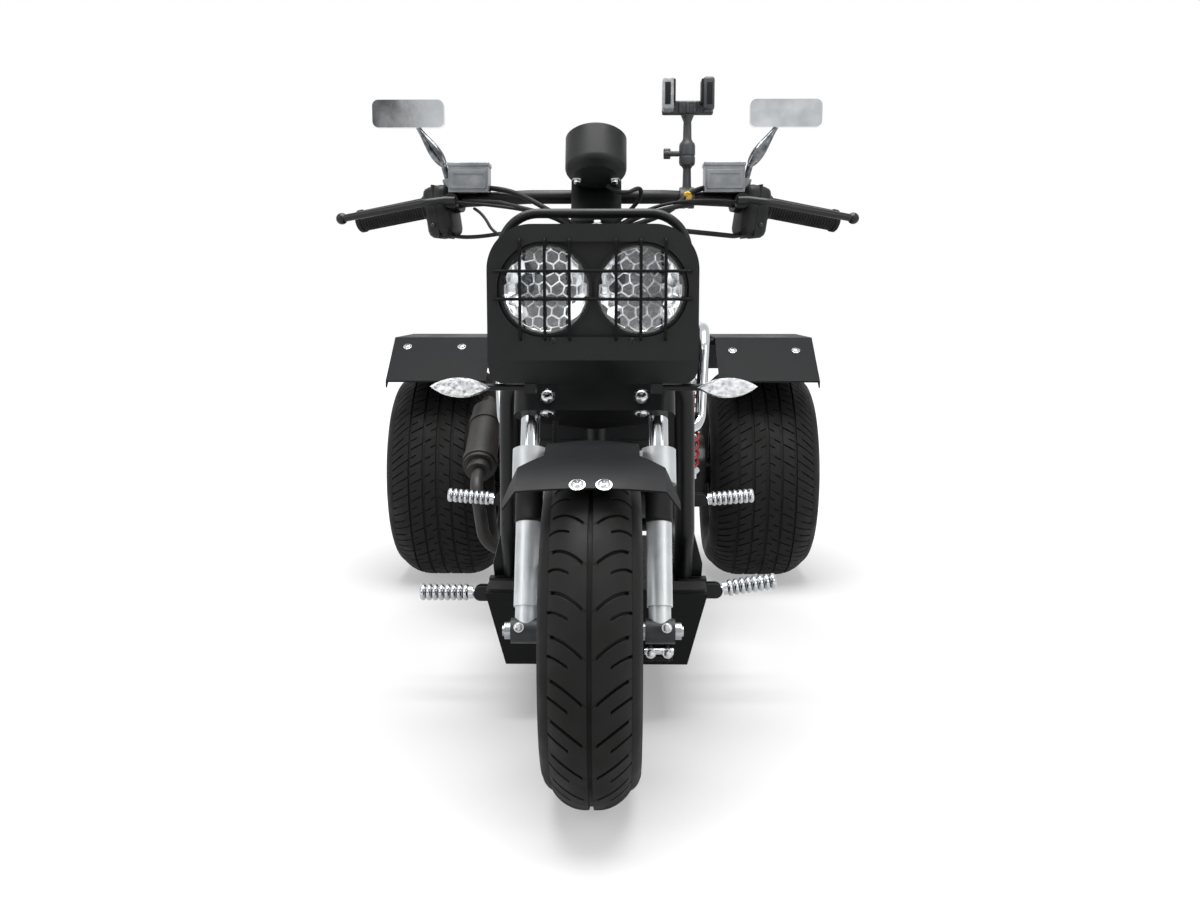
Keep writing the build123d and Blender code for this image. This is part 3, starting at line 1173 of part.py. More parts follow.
PLATE_HOLES = (146, 70)
PLATE_Z = 432
with BuildPart() as tail_bracket:
    block((-100, 100), (TAIL_D, TAIL_D + TAIL_T), (SEAT_RAIL_Z - 48, SEAT_RAIL_Z + 12))
    block((-150, 150), (TAIL_D, TAIL_D + TAIL_T), (SEAT_RAIL_Z - RAIL_R, SEAT_RAIL_Z + RAIL_R))
    block((-30, 30), (TAIL_D, TAIL_D + TAIL_T), (PLATE_Z - 40, SEAT_RAIL_Z))
    block((-95, 95), (TAIL_D, TAIL_D + TAIL_T), (PLATE_Z - 55, PLATE_Z + 55))
    for x in (-PLATE_HOLES[0] / 2, PLATE_HOLES[0] / 2):
        for z in (-PLATE_HOLES[1] / 2, PLATE_HOLES[1] / 2):
            rod(spot(x, TAIL_D - 1, PLATE_Z + z), spot(x, TAIL_D + 6, PLATE_Z + z), 3.5, mode=Mode.SUBTRACT)
keep(tail_bracket, "tail_bracket")

with BuildPart() as tail_lamp:
    block((-72, 72), (TAIL_D + TAIL_T, TAIL_D + 34), (SEAT_RAIL_Z - 38, SEAT_RAIL_Z + 8))
    fillet(tail_lamp.edges().filter_by(Axis.Y), 14)
    fillet(tail_lamp.faces().sort_by(Axis.Y)[-1].edges(), 6)
keep(tail_lamp, "tail_lamp")
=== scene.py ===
# %% [markdown]
# This lesson dresses a three-wheeled scooter. The imported CAD model is a fixed frame: its tubes, wheels
# and panels are already in place, in metres, with the scooter facing -Y and its left side at +X.
# We load it first. Nothing that we add may grow the object.

# %% Load the frame
import json
from math import asin, atan2, cos, exp, hypot, pi, radians, sin

import bmesh
import bpy
from mathutils import Matrix, Vector, noise
from mathutils.bvhtree import BVHTree


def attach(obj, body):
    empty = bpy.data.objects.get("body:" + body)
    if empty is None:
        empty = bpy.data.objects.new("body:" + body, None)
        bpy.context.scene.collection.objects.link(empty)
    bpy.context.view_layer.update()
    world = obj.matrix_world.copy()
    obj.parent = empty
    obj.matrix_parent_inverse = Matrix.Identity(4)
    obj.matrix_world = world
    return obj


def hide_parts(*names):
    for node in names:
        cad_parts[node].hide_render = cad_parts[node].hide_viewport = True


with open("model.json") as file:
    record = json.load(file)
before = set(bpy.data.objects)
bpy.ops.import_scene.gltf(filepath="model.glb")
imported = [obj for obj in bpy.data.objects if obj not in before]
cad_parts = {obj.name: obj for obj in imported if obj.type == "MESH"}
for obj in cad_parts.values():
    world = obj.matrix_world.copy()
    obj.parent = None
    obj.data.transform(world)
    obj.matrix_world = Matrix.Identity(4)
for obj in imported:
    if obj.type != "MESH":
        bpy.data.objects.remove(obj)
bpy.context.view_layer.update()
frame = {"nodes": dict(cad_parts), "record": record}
nodes = frame["nodes"]

# %% [markdown]
# Places are easiest to read in millimetres: across from the middle, behind the front axle, above the
# ground. The steering head leans back, so pieces on the fork use a frame that leans with it.

# %% Places in millimetres
FRONT_AXLE_Y = -696.0
WHEELBASE = 1370
FRONT_AXLE_Z, REAR_AXLE_Z = 243, 265
RAKE_DEGREES = 25
RAKE = radians(RAKE_DEGREES)
STEER_ORIGIN = Vector((0, -672.436, 232.012))
STEER_SIDE = Vector((0, cos(RAKE), -sin(RAKE)))
STEER_UP = Vector((0, sin(RAKE), cos(RAKE)))
FORWARD, BACKWARD = Vector((0, -1, 0)), Vector((0, 1, 0))
LEFT, RIGHT = Vector((1, 0, 0)), Vector((-1, 0, 0))
UP, DOWN = Vector((0, 0, 1)), Vector((0, 0, -1))


def place(across, behind, height):
    """A point in metres from millimetres across, behind the front axle and above the ground."""
    return Vector((across, FRONT_AXLE_Y + behind, height)) / 1000


def steer_place(across, rearward, along):
    """A point in metres on the leaning steering frame, from millimetres."""
    return (STEER_ORIGIN + LEFT * across + STEER_SIDE * rearward + STEER_UP * along) / 1000


print("steering head leans back by", RAKE_DEGREES, "degrees")

# %% [markdown]
# Every new piece ends the same way: doubles are merged, faces are turned outwards, edges sharper than
# an angle stay crisp, and the piece rides on the body that carries it. One helper does that for all.
# A second one is the lathe: it spins an outline round an axis, as most turned parts are made.

# %% Turning a bmesh into a piece
def into_scene(name, data):
    """Puts new data into the scene as an object at the origin."""
    made = bpy.data.objects.new(name, data)
    bpy.context.scene.collection.objects.link(made)
    return made


def piece(name, bm, materials, body, stands_for=(), crisp=32):
    """Makes a bmesh into an object at the origin that rides on a body."""
    bmesh.ops.remove_doubles(bm, verts=bm.verts, dist=2e-6)
    bmesh.ops.recalc_face_normals(bm, faces=bm.faces)
    mesh = bpy.data.meshes.new(name)
    bm.to_mesh(mesh)
    bm.free()
    mesh.shade_smooth()
    mesh.set_sharp_from_angle(angle=radians(crisp))
    made = into_scene(name, mesh)
    for material in materials if isinstance(materials, (list, tuple)) else [materials]:
        mesh.materials.append(material)
    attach(made, body)
    if stands_for:
        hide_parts(*stands_for)
    print("piece:", name, "faces", len(mesh.polygons))
    return made


def lathe(bm, outline, origin, axis, steps, closed=False):
    """Spins a chain of (along, out) points in millimetres round an axis."""
    axis = Vector(axis).normalized()
    out = axis.orthogonal().normalized()
    chain = [bm.verts.new(origin + (axis * along + out * reach) / 1000) for along, reach in outline]
    pairs = list(zip(chain, chain[1:])) + ([(chain[-1], chain[0])] if closed else [])
    edges = [bm.edges.new(pair) for pair in pairs]
    bmesh.ops.spin(
        bm, geom=chain + edges, cent=origin, axis=axis, dvec=(0, 0, 0), angle=2 * pi, steps=steps,
        use_merge=True,
    )


# %% [markdown]
# Colours are picked as sRGB hex values, the way a paint chart gives them, and a shader wants them
# linear. One function adds a node with its values and links, so that a finish reads as a short list.
# Each finish drifts a little in colour and gloss, in patches of a real size, and has a real grain.

# %% Material helpers
NOISE, CELLS = "ShaderNodeTexNoise", "ShaderNodeTexVoronoi"


def linear(hex_colour):
    """An sRGB hex colour as linear RGBA."""
    parts = [int(hex_colour[k:k + 2], 16) / 255 for k in (1, 3, 5)]
    return [p / 12.92 if p <= 0.04045 else ((p + 0.055) / 1.055) ** 2.4 for p in parts] + [1.0]


def per_metre(size_mm):
    """Texture scale at which one feature of the pattern is about so many millimetres wide."""
    return 1000.0 / size_mm


def add(tree, kind, values=None, links=None, **settings):
    """Adds one node with its settings, its input values and the sockets linked into it."""
    node = tree.nodes.new(kind)
    for key, value in settings.items():
        setattr(node, key, value)
    for key, value in (values or {}).items():
        node.inputs[key].default_value = value
    for key, source in (links or {}).items():
        tree.links.new(source, node.inputs[key])
    return node


def finish(name, colours, roughness, patch_mm, grain=None, **sockets):
    """A material whose colour and gloss drift in patches; a grain is (kind, mm, depth mm)."""
    material = bpy.data.materials.new(name)
    material.use_nodes = True
    tree = material.node_tree
    shader = tree.nodes["Principled BSDF"]
    for key, value in sockets.items():
        shader.inputs[key.replace("_", " ")].default_value = value
    where = add(tree, "ShaderNodeTexCoord").outputs["Object"]
    patch = add(tree, NOISE, {"Scale": per_metre(patch_mm), "Detail": 5.0}, {"Vector": where}).outputs["Fac"]
    spread = {"From Min": 0.34, "From Max": 0.66}
    tint = add(tree, "ShaderNodeMapRange", spread, {"Value": patch}).outputs["Result"]
    colour = add(
        tree, "ShaderNodeMix", {6: linear(colours[0]), 7: linear(colours[1])}, {0: tint}, data_type="RGBA"
    ).outputs[2]
    gloss = add(
        tree, "ShaderNodeMapRange", {**spread, "To Min": roughness[0], "To Max": roughness[1]},
        {"Value": patch},
    ).outputs["Result"]
    tree.links.new(colour, shader.inputs["Base Color"])
    tree.links.new(gloss, shader.inputs["Roughness"])
    if grain:
        kind, grain_mm, depth_mm = grain
        pattern = add(tree, kind, {"Scale": per_metre(grain_mm)}, {"Vector": where})
        height = pattern.outputs["Distance" if kind == CELLS else "Fac"]
        relief = add(
            tree, "ShaderNodeBump", {"Strength": 1.0, "Distance": depth_mm / 1000}, {"Height": height}
        )
        tree.links.new(relief.outputs["Normal"], shader.inputs["Normal"])
    print("finish:", name)
    return material


# %% [markdown]
# The blacks of this scooter are several materials, and they differ by gloss more than by colour. The
# tubes and pressed panels are powder coated, the fairing is moulded ABS, the wheels are enamelled.
# Each gets the grain that its making leaves: orange peel on the coat, a spark-eroded grain on the ABS.

# %% Black paints and plastics
# Powder coat: a thick baked film, so highlights are soft and slightly rippled.
coat_black = finish(
    "powder_coat_satin_black", ("#0c0d0e", "#141517"), (0.34, 0.50), 90, (NOISE, 1.8, 0.035),
    IOR=1.5, Specular_IOR_Level=0.24,
)
# The same coat on pressed sheet, the mudguards and the pan, has a duller powder: hardly any sheen.
panel_black = finish(
    "powder_coat_matt_black_on_sheet_steel", ("#090a0b", "#101113"), (0.42, 0.58), 110,
    (NOISE, 2.2, 0.03), IOR=1.5, Specular_IOR_Level=0.14,
)
# Dipped wire of the lamp guards: a thin matt film that nearly vanishes against the fairing.
wire_black = finish(
    "dip_coat_matt_black_on_steel_wire", ("#060607", "#0b0c0c"), (0.48, 0.62), 20, (NOISE, 1.0, 0.03),
    IOR=1.5, Specular_IOR_Level=0.12,
)
# ABS moulded in a grained tool: satin sheen that breaks up in fine cells.
abs_black = finish(
    "abs_moulded_satin_black", ("#0d0e0f", "#151617"), (0.40, 0.56), 70, (CELLS, 1.1, 0.05),
    IOR=1.53, Specular_IOR_Level=0.24,
)
# Enamel over cast alloy: deeper gloss, with a clear film that sharpens the highlight.
enamel_black = finish(
    "enamel_gloss_black_on_cast_alloy", ("#08090a", "#101113"), (0.24, 0.36), 60, (NOISE, 2.6, 0.03),
    IOR=1.5, Specular_IOR_Level=0.25, Coat_Weight=0.15, Coat_Roughness=0.12,
)
# Levers are forged alloy with a black anodised skin: thin, hard and fairly bright.
anodised_black = finish(
    "anodised_aluminium_black", ("#0e0f10", "#17181a"), (0.26, 0.38), 18, (NOISE, 0.7, 0.015),
    IOR=1.5, Metallic=0.2, Specular_IOR_Level=0.35,
)
# Heat-resistant silicone paint on the exhaust: flat, browned by heat in broad clouds.
exhaust_black = finish(
    "silicone_heat_paint_on_steel", ("#1a1a1b", "#2a2724"), (0.42, 0.62), 55, (NOISE, 1.0, 0.05),
    IOR=1.5, Metallic=0.2,
)
# Glass-filled nylon of the phone holder and the switches: a little greyer.
nylon_grey = finish(
    "nylon_glass_filled_dark_grey", ("#26282a", "#35373a"), (0.42, 0.58), 20, (CELLS, 0.9, 0.05),
    IOR=1.53,
)

# %% [markdown]
# Rubber and vinyl are soft blacks. They scatter what little light they return, so they look dull and
# even, and the eye tells them apart by their grain: dust on a tyre, a leather emboss on the seat.

# %% Rubber and vinyl
# Tyre rubber: carbon-black compound, dull, with road dust in large soft patches.
tyre_rubber = finish(
    "tyre_rubber_road_dusted", ("#0b0b0b", "#171716"), (0.60, 0.82), 45, (NOISE, 1.2, 0.10),
    IOR=1.52, Specular_IOR_Level=0.2,
)
# Soft moulded rubber of grips, hoses and the floor mat: darker and duller than a tyre.
soft_rubber = finish(
    "epdm_rubber_moulded_black", ("#0a0a0a", "#121212"), (0.55, 0.74), 25, (NOISE, 0.9, 0.05),
    IOR=1.52, Specular_IOR_Level=0.22,
)
# Vinyl seat cover: a leather-like embossed grain, cells of about 1.6 mm, duller in the valleys.
seat_vinyl = finish(
    "vinyl_cover_leather_grained", ("#131314", "#1c1c1d"), (0.40, 0.56), 80, (CELLS, 1.6, 0.18),
    IOR=1.52, Specular_IOR_Level=0.45,
)

# %% [markdown]
# The bright parts stand out against the black: polished chrome on pegs, rails and stanchions, silver
# lacquer on the cast fork legs, bare die-cast on the engine. Metals keep the default IOR; what tells
# them apart is colour, roughness and the scale of the marks on them.

# %% Plated metals
# Chrome: almost a mirror, with faint smears from handling.
chrome = finish(
    "chrome_plate_polished", ("#b0b3b6", "#c2c5c7"), (0.05, 0.14), 30, (NOISE, 14, 0.04), Metallic=1.0
)
# Chrome on the mirror shells is plated on plastic: flatter and brighter than on the pegs.
shell_chrome = finish(
    "chrome_plate_on_plastic", ("#b4b7ba", "#cdd0d2"), (0.06, 0.12), 34, (NOISE, 12, 0.02), Metallic=1.0
)
# The mirror arms have a smoked plate: a mirror still, but a dark one.
arm_chrome = finish(
    "chrome_plate_smoked", ("#4a4d50", "#7d8083"), (0.08, 0.18), 9, (CELLS, 7, 0.12), Metallic=1.0
)
# Zinc-plated steel of nuts and bolts: bright, but cloudy.
zinc_steel = finish(
    "zinc_plated_steel", ("#b5b8ba", "#d2d4d6"), (0.18, 0.34), 6, (NOISE, 0.8, 0.02), Metallic=1.0
)
# Brass of the clamp screw: warm yellow metal, slightly tarnished.
brass = finish("brass_turned", ("#a5802f", "#c79f4a"), (0.22, 0.38), 5, (NOISE, 0.6, 0.02), Metallic=1.0)
# Silvered glass: the cleanest reflection on the object.
mirror_silver = finish(
    "silvered_mirror_glass", ("#eef1f2", "#f6f8f8"), (0.01, 0.03), 40, None, Metallic=1.0
)
# Vacuum-metalled reflector: bright aluminium film on moulded facets.
reflector_film = finish(
    "vacuum_metalled_reflector", ("#e9ebee", "#f7f8f9"), (0.06, 0.16), 12, (NOISE, 3, 0.03), Metallic=1.0
)

# %% [markdown]
# Castings are rougher than plate. Some are left bare, and some are sprayed with a lacquer that holds
# metal flake, which lies between paint and metal: so its metallic value lies between 0 and 1.

# %% Castings
# Silver lacquer over cast aluminium: metal flake gives a broad, soft highlight.
silver_lacquer = finish(
    "silver_lacquer_on_cast_aluminium", ("#b9bcbe", "#cccfd1"), (0.36, 0.48), 40, (NOISE, 0.8, 0.03),
    Metallic=0.55,
)
# Grey lacquer of the fluid reservoirs: duller and darker than the fork.
grey_lacquer = finish(
    "grey_lacquer_on_die_casting", ("#76797c", "#8e9194"), (0.34, 0.46), 30, (NOISE, 0.8, 0.03),
    Metallic=0.4,
)
# Dark lacquer on the cast axle clamps: the pebbled casting shows through it.
cast_dark = finish(
    "dark_lacquer_on_cast_aluminium", ("#25272a", "#36383b"), (0.38, 0.54), 24, (CELLS, 1.3, 0.07),
    Metallic=0.5,
)
# Die-cast aluminium, shot blasted: a fine pebbled skin.
cast_alloy = finish(
    "die_cast_aluminium_blasted", ("#85888b", "#a0a3a6"), (0.40, 0.56), 35, (CELLS, 1.3, 0.09),
    Metallic=1.0,
)

# %% [markdown]
# Lenses and lacquers take light inside. A clear polycarbonate lens is all transmission; the tail lamp
# lets red through; the shock springs have a red enamel with a clear top film.

# %% Lens, enamel and ink finishes
# Polycarbonate, injection moulded: clear, with slight haze from road grit.
clear_lens = finish(
    "polycarbonate_clear_moulded", ("#f4f6f8", "#ffffff"), (0.02, 0.07), 30, None,
    Transmission_Weight=1.0, IOR=1.585,
)
# Coated glass of the dial: the coating takes most of the glare away, so the IOR is set low.
dial_glass = finish(
    "float_glass_coated", ("#f6f8f8", "#ffffff"), (0.01, 0.03), 30, None,
    Transmission_Weight=1.0, IOR=1.12,
)
# Red PMMA: deep colour, glossy skin, some light passing through.
red_lens = finish(
    "pmma_red_lens_moulded", ("#7c0a0c", "#96100f"), (0.06, 0.12), 25, None,
    Transmission_Weight=0.35, IOR=1.49,
)
# Enamel baked on spring wire: a deep red under a hard gloss.
red_enamel = finish(
    "enamel_red_on_spring_steel", ("#8f1216", "#a81a1c"), (0.20, 0.32), 20, (NOISE, 2.0, 0.03),
    IOR=1.5, Coat_Weight=0.5, Coat_Roughness=0.08,
)
# Signal lens: clear moulding cut in small pyramids over a metal film, so it glitters in pale greys.
signal_clear = finish(
    "polycarbonate_pyramid_cut_over_film", ("#bfc3c6", "#f4f5f6"), (0.08, 0.24), 7, (CELLS, 7, 1.2),
    Metallic=0.55, Coat_Weight=0.8, Coat_Roughness=0.04,
)
# White printing ink of the dial: flat and slightly uneven.
dial_ink = finish("printed_ink_white", ("#d9dbdc", "#e6e7e8"), (0.50, 0.60), 4, (NOISE, 0.3, 0.01))

# %% [markdown]
# A ground brake disc shows rings that its grinding left. A wave texture in rings about the axle gives
# them; real marks are a tenth of a millimetre apart, so they are drawn ten times as coarse to show.
# A wave texture has about 20 rings to each unit of its scale, which is why the scale is divided.

# %% Ground steel
RING_MM, RINGS_PER_SCALE = 1.2, 20
ground_steel = finish("ground_steel_disc", ("#8a8d90", "#a9acaf"), (0.24, 0.38), 30, None, Metallic=1.0)
tree = ground_steel.node_tree
where = add(tree, "ShaderNodeTexCoord").outputs["Object"]
to_axle = [-value for value in place(0, 0, FRONT_AXLE_Z)]
centred = add(tree, "ShaderNodeMapping", {"Location": to_axle}, {"Vector": where}).outputs["Vector"]
rings = add(
    tree, "ShaderNodeTexWave", {"Scale": per_metre(RING_MM) / RINGS_PER_SCALE, "Distortion": 0.4},
    {"Vector": centred}, wave_type="RINGS", rings_direction="X",
).outputs["Fac"]
relief = add(tree, "ShaderNodeBump", {"Strength": 0.6, "Distance": 0.00004}, {"Height": rings})
tree.links.new(relief.outputs["Normal"], tree.nodes["Principled BSDF"].inputs["Normal"])

# %% [markdown]
# Now the CAD nodes get their finishes. The record names a slot for each node, so one table from slot
# to material dresses nearly all of them, and a second table names the nodes that differ from it.

# %% Dress the CAD nodes
SLOT_FINISH = {
    "black_frame_paint": coat_black, "satin_black_plastic": abs_black, "floor_mat": soft_rubber,
    "tyre_rubber": tyre_rubber, "black_rim": enamel_black, "disc_steel": ground_steel,
    "fork_silver": silver_lacquer, "chrome_tube": chrome, "mirror_glass": mirror_silver,
    "clear_lens": clear_lens, "reflector": reflector_film, "black_wire": coat_black,
    "red_spring": red_enamel, "cast_alloy": cast_alloy, "exhaust_steel": exhaust_black,
    "grip_rubber": soft_rubber, "lever_black": anodised_black, "holder_plastic": nylon_grey,
    "seat_vinyl": seat_vinyl, "seat_base": abs_black, "red_lens": red_lens,
}
NODE_FINISH = {
    "fuel_tank": coat_black, "belt_case": enamel_black, "headlamp_bowls": abs_black,
    "signal_lenses": signal_clear, "turn_signals": zinc_steel, "control_cables": soft_rubber,
    "mirrors": shell_chrome, "master_cylinders": anodised_black, "headlamp_guards": wire_black,
    "front_mudguard": panel_black, "rear_mudguard_left": panel_black, "rear_mudguard_right": panel_black,
    "belly_pan": panel_black,
}
for subpart in frame["record"]["subparts"]:
    name = subpart["node"]
    nodes[name].data.materials.clear()
    nodes[name].data.materials.append(NODE_FINISH.get(name, SLOT_FINISH[subpart["material_slot"]]))

# %% [markdown]
# Four nodes mix two finishes: the fork legs end in dark axle clamps, the mirrors stand on smoked arms,
# the brake cylinders carry grey reservoirs and the turn signals have black stems. A face's place
# tells which finish it has, so each face picks one of the node's two material slots.

# %% Second finishes
AXLE_CLAMP_TOP, MIRROR_SHELL_FOOT = 0.262, 0.983
RESERVOIR_FOOT, RESERVOIR_BACK = 0.8776, -0.352
FRONT_STEM_END, REAR_STEM_END = 0.147, 0.110


def repaint(node, material, is_second):
    """Gives a second finish to the faces of a CAD node whose middle passes a test."""
    mesh = nodes[node].data
    mesh.materials.append(material)
    for polygon in mesh.polygons:
        polygon.material_index = 1 if is_second(polygon.center) else 0
    print("second finish:", node, material.name)


repaint("fork_legs", cast_dark, lambda spot: spot.z < AXLE_CLAMP_TOP)
repaint("mirrors", arm_chrome, lambda spot: spot.z < MIRROR_SHELL_FOOT)
repaint("master_cylinders", grey_lacquer, lambda spot: spot.z > RESERVOIR_FOOT and spot.y < RESERVOIR_BACK)
repaint(
    "turn_signals", coat_black, lambda spot: abs(spot.x) < (FRONT_STEM_END if spot.y < 0 else REAR_STEM_END)
)

# %% [markdown]
# A tyre is a smooth carcass with blocks of tread standing on it. For the blocks, one pitch of the
# pattern is laid out flat as a grid, sheared so that its columns follow the slanted sipes; its
# grooves are left out and the rest is extruded. Working flat keeps every block clean.

# %% One pitch of tread
def round_edges(bm, edges, offset, segments):
    """Bevels edges with a round profile."""
    bmesh.ops.bevel(
        bm, geom=edges, offset=offset, offset_type="OFFSET", segments=segments, profile=0.5,
        affect="EDGES", material=-1, clamp_overlap=True,
    )


def tread_pitch(bm, columns, rows, is_groove, shear, height):
    """Lays out one flat pitch of tread in millimetres and raises its blocks by the height."""
    grid = bmesh.ops.create_grid(bm, x_segments=len(columns) - 1, y_segments=len(rows) - 1, size=1)
    for vert in grid["verts"]:
        column = round((vert.co.x + 1) / 2 * (len(columns) - 1))
        row = round((vert.co.y + 1) / 2 * (len(rows) - 1))
        vert.co = Vector((columns[column] + shear(rows[row]), rows[row], 0))
    blocks, gaps = [], []
    for face in bm.faces:
        middle = face.calc_center_median()
        groove = is_groove(middle.x - shear(middle.y), middle.y)
        (gaps if groove else blocks).append(face)
    bmesh.ops.delete(bm, geom=gaps, context="FACES")
    raised = bmesh.ops.extrude_face_region(bm, geom=blocks, use_keep_orig=True)["geom"]
    tops = [item for item in raised if isinstance(item, bmesh.types.BMVert)]
    bmesh.ops.translate(bm, verts=tops, vec=(0, 0, height))
    rims = [
        edge for edge in bm.edges
        if min(v.co.z for v in edge.verts) > height / 2
        and sum(face.calc_center_median().z < height * 0.9 for face in edge.link_faces) == 1
    ]
    round_edges(bm, rims, 0.7, 1)


# %% [markdown]
# The carcass is a lathe job: its side walls are arcs with a few moulded rings, and its crown is flat in
# the middle and round at the edges. The flat pitch of tread is bent over that crown and round the
# wheel, and a spin copies it all the way, so one pitch serves the whole tyre.

# %% Tyre builder
FLANGE = 9.5  # how far the rim's flange stands above the bead's seat, in millimetres
WALL_SHARE = 0.42  # where the side wall is widest, as a share of its height
WALL_RINGS, RING_PROUD = (5, 6, 11), 0.9
SUNK = 1.2  # how deep the blocks reach into the carcass


def arc(first, middle, last, count):
    """Points on the circle through three points, from the first to the last."""
    (ax, ay), (bx, by), (cx, cy) = first, middle, last
    d = 2 * (ax * (by - cy) + bx * (cy - ay) + cx * (ay - by))
    sa, sb, sc = ax * ax + ay * ay, bx * bx + by * by, cx * cx + cy * cy
    ux = (sa * (by - cy) + sb * (cy - ay) + sc * (ay - by)) / d
    uy = (sa * (cx - bx) + sb * (ax - cx) + sc * (bx - ax)) / d
    angles = [atan2(y - uy, x - ux) for x, y in (first, middle, last)]
    start = angles[0]
    way = [(angle - start) % (2 * pi) for angle in angles]
    sweep = way[2] if way[1] < way[2] else way[2] - 2 * pi
    reach = hypot(ax - ux, ay - uy)
    turns = [start + sweep * k / count for k in range(count + 1)]
    return [(ux + reach * cos(turn), uy + reach * sin(turn)) for turn in turns]


def join(bm, part):
    """Adds all of one bmesh to another and frees the first."""
    carried = bpy.data.meshes.new("carried")
    part.to_mesh(carried)
    part.free()
    bm.from_mesh(carried)
    bpy.data.meshes.remove(carried)


def tyre(name, body, hub, size, rim, crown, depth, pitches, pattern, stands_for):
    """Builds one tyre: carcass by lathe, tread by one bent pitch that is spun round."""
    radius, half_width = size
    rim_half, rim_radius = rim
    edge_x, drop, flat = crown
    edge = (edge_x, radius - drop)
    hook = (rim_half, rim_radius + FLANGE)
    wall = (half_width, hook[1] + WALL_SHARE * (radius - hook[1]))
    bend = ((edge_x - flat) ** 2 + drop ** 2) / (2 * drop)
    half = flat + bend * asin((edge_x - flat) / bend)

    def on_crown(along, lift):
        """Place across and out from the hub, so far along the crown from its middle and below it."""
        turn = max(0.0, abs(along) - flat) / bend
        across = min(abs(along), flat) + (bend - lift) * sin(turn)
        return (across if along >= 0 else -across), radius - bend + (bend - lift) * cos(turn)

    side = arc(hook, wall, edge, 18)
    side = [(x + (RING_PROUD if k in WALL_RINGS else 0.0), r) for k, (x, r) in enumerate(side)]
    middle = [on_crown(half * k / 14, depth) for k in range(14, -15, -1)]
    outline = [(rim_half, rim_radius + 1)] + side + middle
    outline += [(-x, r) for x, r in side[::-1]] + [(-rim_half, rim_radius + 1)]
    bm = bmesh.new()
    lathe(bm, outline, hub, LEFT, 120, closed=True)
    pitch = bmesh.new()
    tread_pitch(pitch, *pattern(2 * pi * radius / pitches, half), depth + SUNK)
    for vert in pitch.verts:
        turn = vert.co.x / radius
        across, out = on_crown(vert.co.y, depth + SUNK - vert.co.z)
        vert.co = hub + Vector((across, -out * sin(turn), out * cos(turn))) / 1000
    bmesh.ops.spin(
        pitch, geom=pitch.verts[:] + pitch.edges[:] + pitch.faces[:], cent=hub, axis=LEFT, dvec=(0, 0, 0),
        angle=2 * pi * (pitches - 1) / pitches, steps=pitches - 1, use_duplicate=True,
    )
    join(bm, pitch)
    return piece(name, bm, tyre_rubber, body, stands_for, crisp=40)


# %% [markdown]
# The front tyre has a road pattern: a groove round its middle and sipes that sweep up and outwards
# from it, a long one and a short one in turn. The sheared columns are those sipes.

# %% Front tyre
def front_pattern(pitch, half):
    """Columns, rows, groove test and shear of the front tread, in millimetres."""
    second = 0.46 * pitch
    columns = [0, 5, second, second + 4, pitch]
    inner = [3, 9, 15, 21, 27, 33, 39, 45, 50, 55, half]
    rows = [-v for v in inner[::-1]] + inner

    def is_groove(u, v):
        long_sipe = 0 < u < 5 and 9 < abs(v) < 55
        short_sipe = 0 < u - second < 4 and 27 < abs(v) < half
        return abs(v) < 3 or long_sipe or short_sipe

    def shear(v):
        return -1.15 * abs(v) + 0.0095 * v * v

    return columns, rows, is_groove, shear


tyre(
    "front_tyre_treaded", "front_wheel", place(0, 0, FRONT_AXLE_Z), size=(243, 65), rim=(46, 165),
    crown=(53.3, 26, 8), depth=5.0, pitches=26, pattern=front_pattern, stands_for=["front_tyre"],
)

# %% [markdown]
# The rear tyres are wide and nearly square. Six ribs run round each, cut by narrow slanted sipes, and
# the outer ribs are open blocks. The same builder makes them with another table.

# %% Rear tyres
def rear_pattern(pitch, half):
    """Columns, rows, groove test and shear of the rear tread, in millimetres."""
    second = 0.5 * pitch
    columns = [0, 3.5, second, second + 2.5, pitch]
    inner = [4, 16, 30, 36, 50, 64, 70, 84, 98, 110, half]
    rows = [-v for v in inner[::-1]] + inner

    def is_groove(u, v):
        ring = abs(v) < 4 or 30 < abs(v) < 36 or 64 < abs(v) < 70
        sipe = 0 < u < 3.5 and (16 < abs(v) < 64 or abs(v) > 84)
        fine = 0 < u - second < 2.5 and (4 < abs(v) < 16 or 50 < abs(v) < 64 or abs(v) > 70)
        return ring or sipe or fine

    def shear(v):
        return 0.55 * abs(v)

    return columns, rows, is_groove, shear


for hand, across in (("left", 390), ("right", -390)):
    tyre(
        "rear_tyre_treaded_" + hand, "rear_wheel_" + hand, place(across, WHEELBASE, REAR_AXLE_Z),
        size=(265, 130), rim=(104, 152), crown=(111.8, 30, 46), depth=4.0, pitches=40,
        pattern=rear_pattern, stands_for=["rear_tyre_" + hand],
    )

# %% [markdown]
# Behind each headlamp lens sits a reflector pressed into odd polygons, each a shallow hollow that
# looks dark, with bright ridges between them. Such a net is what remains when every point belongs to
# the nearest of a few scattered seeds. So a cell starts as one large square, and planes halfway to
# its neighbours cut it to shape.

# %% Reflector cells
DISH_RIM = 57
CELL_MM, ROW_SHARE = 17.5, 0.866
SCATTER_MM = 6.5


def scattered_seeds(lamp):
    """Seeds of the cells, in millimetres: a grid of triangles, pushed about by smooth noise."""
    reach = int(DISH_RIM / (CELL_MM * ROW_SHARE)) + 1
    seeds = []
    for row in range(-reach, reach + 1):
        for column in range(-reach, reach + 1):
            spot = Vector(((column + 0.5 * (row % 2)) * CELL_MM, row * CELL_MM * ROW_SHARE, 0))
            seeds.append(spot + noise.noise_vector(spot * 0.37 + Vector((0, 0, 5 * lamp))) * SCATTER_MM)
            seeds[-1].z = 0
    return seeds


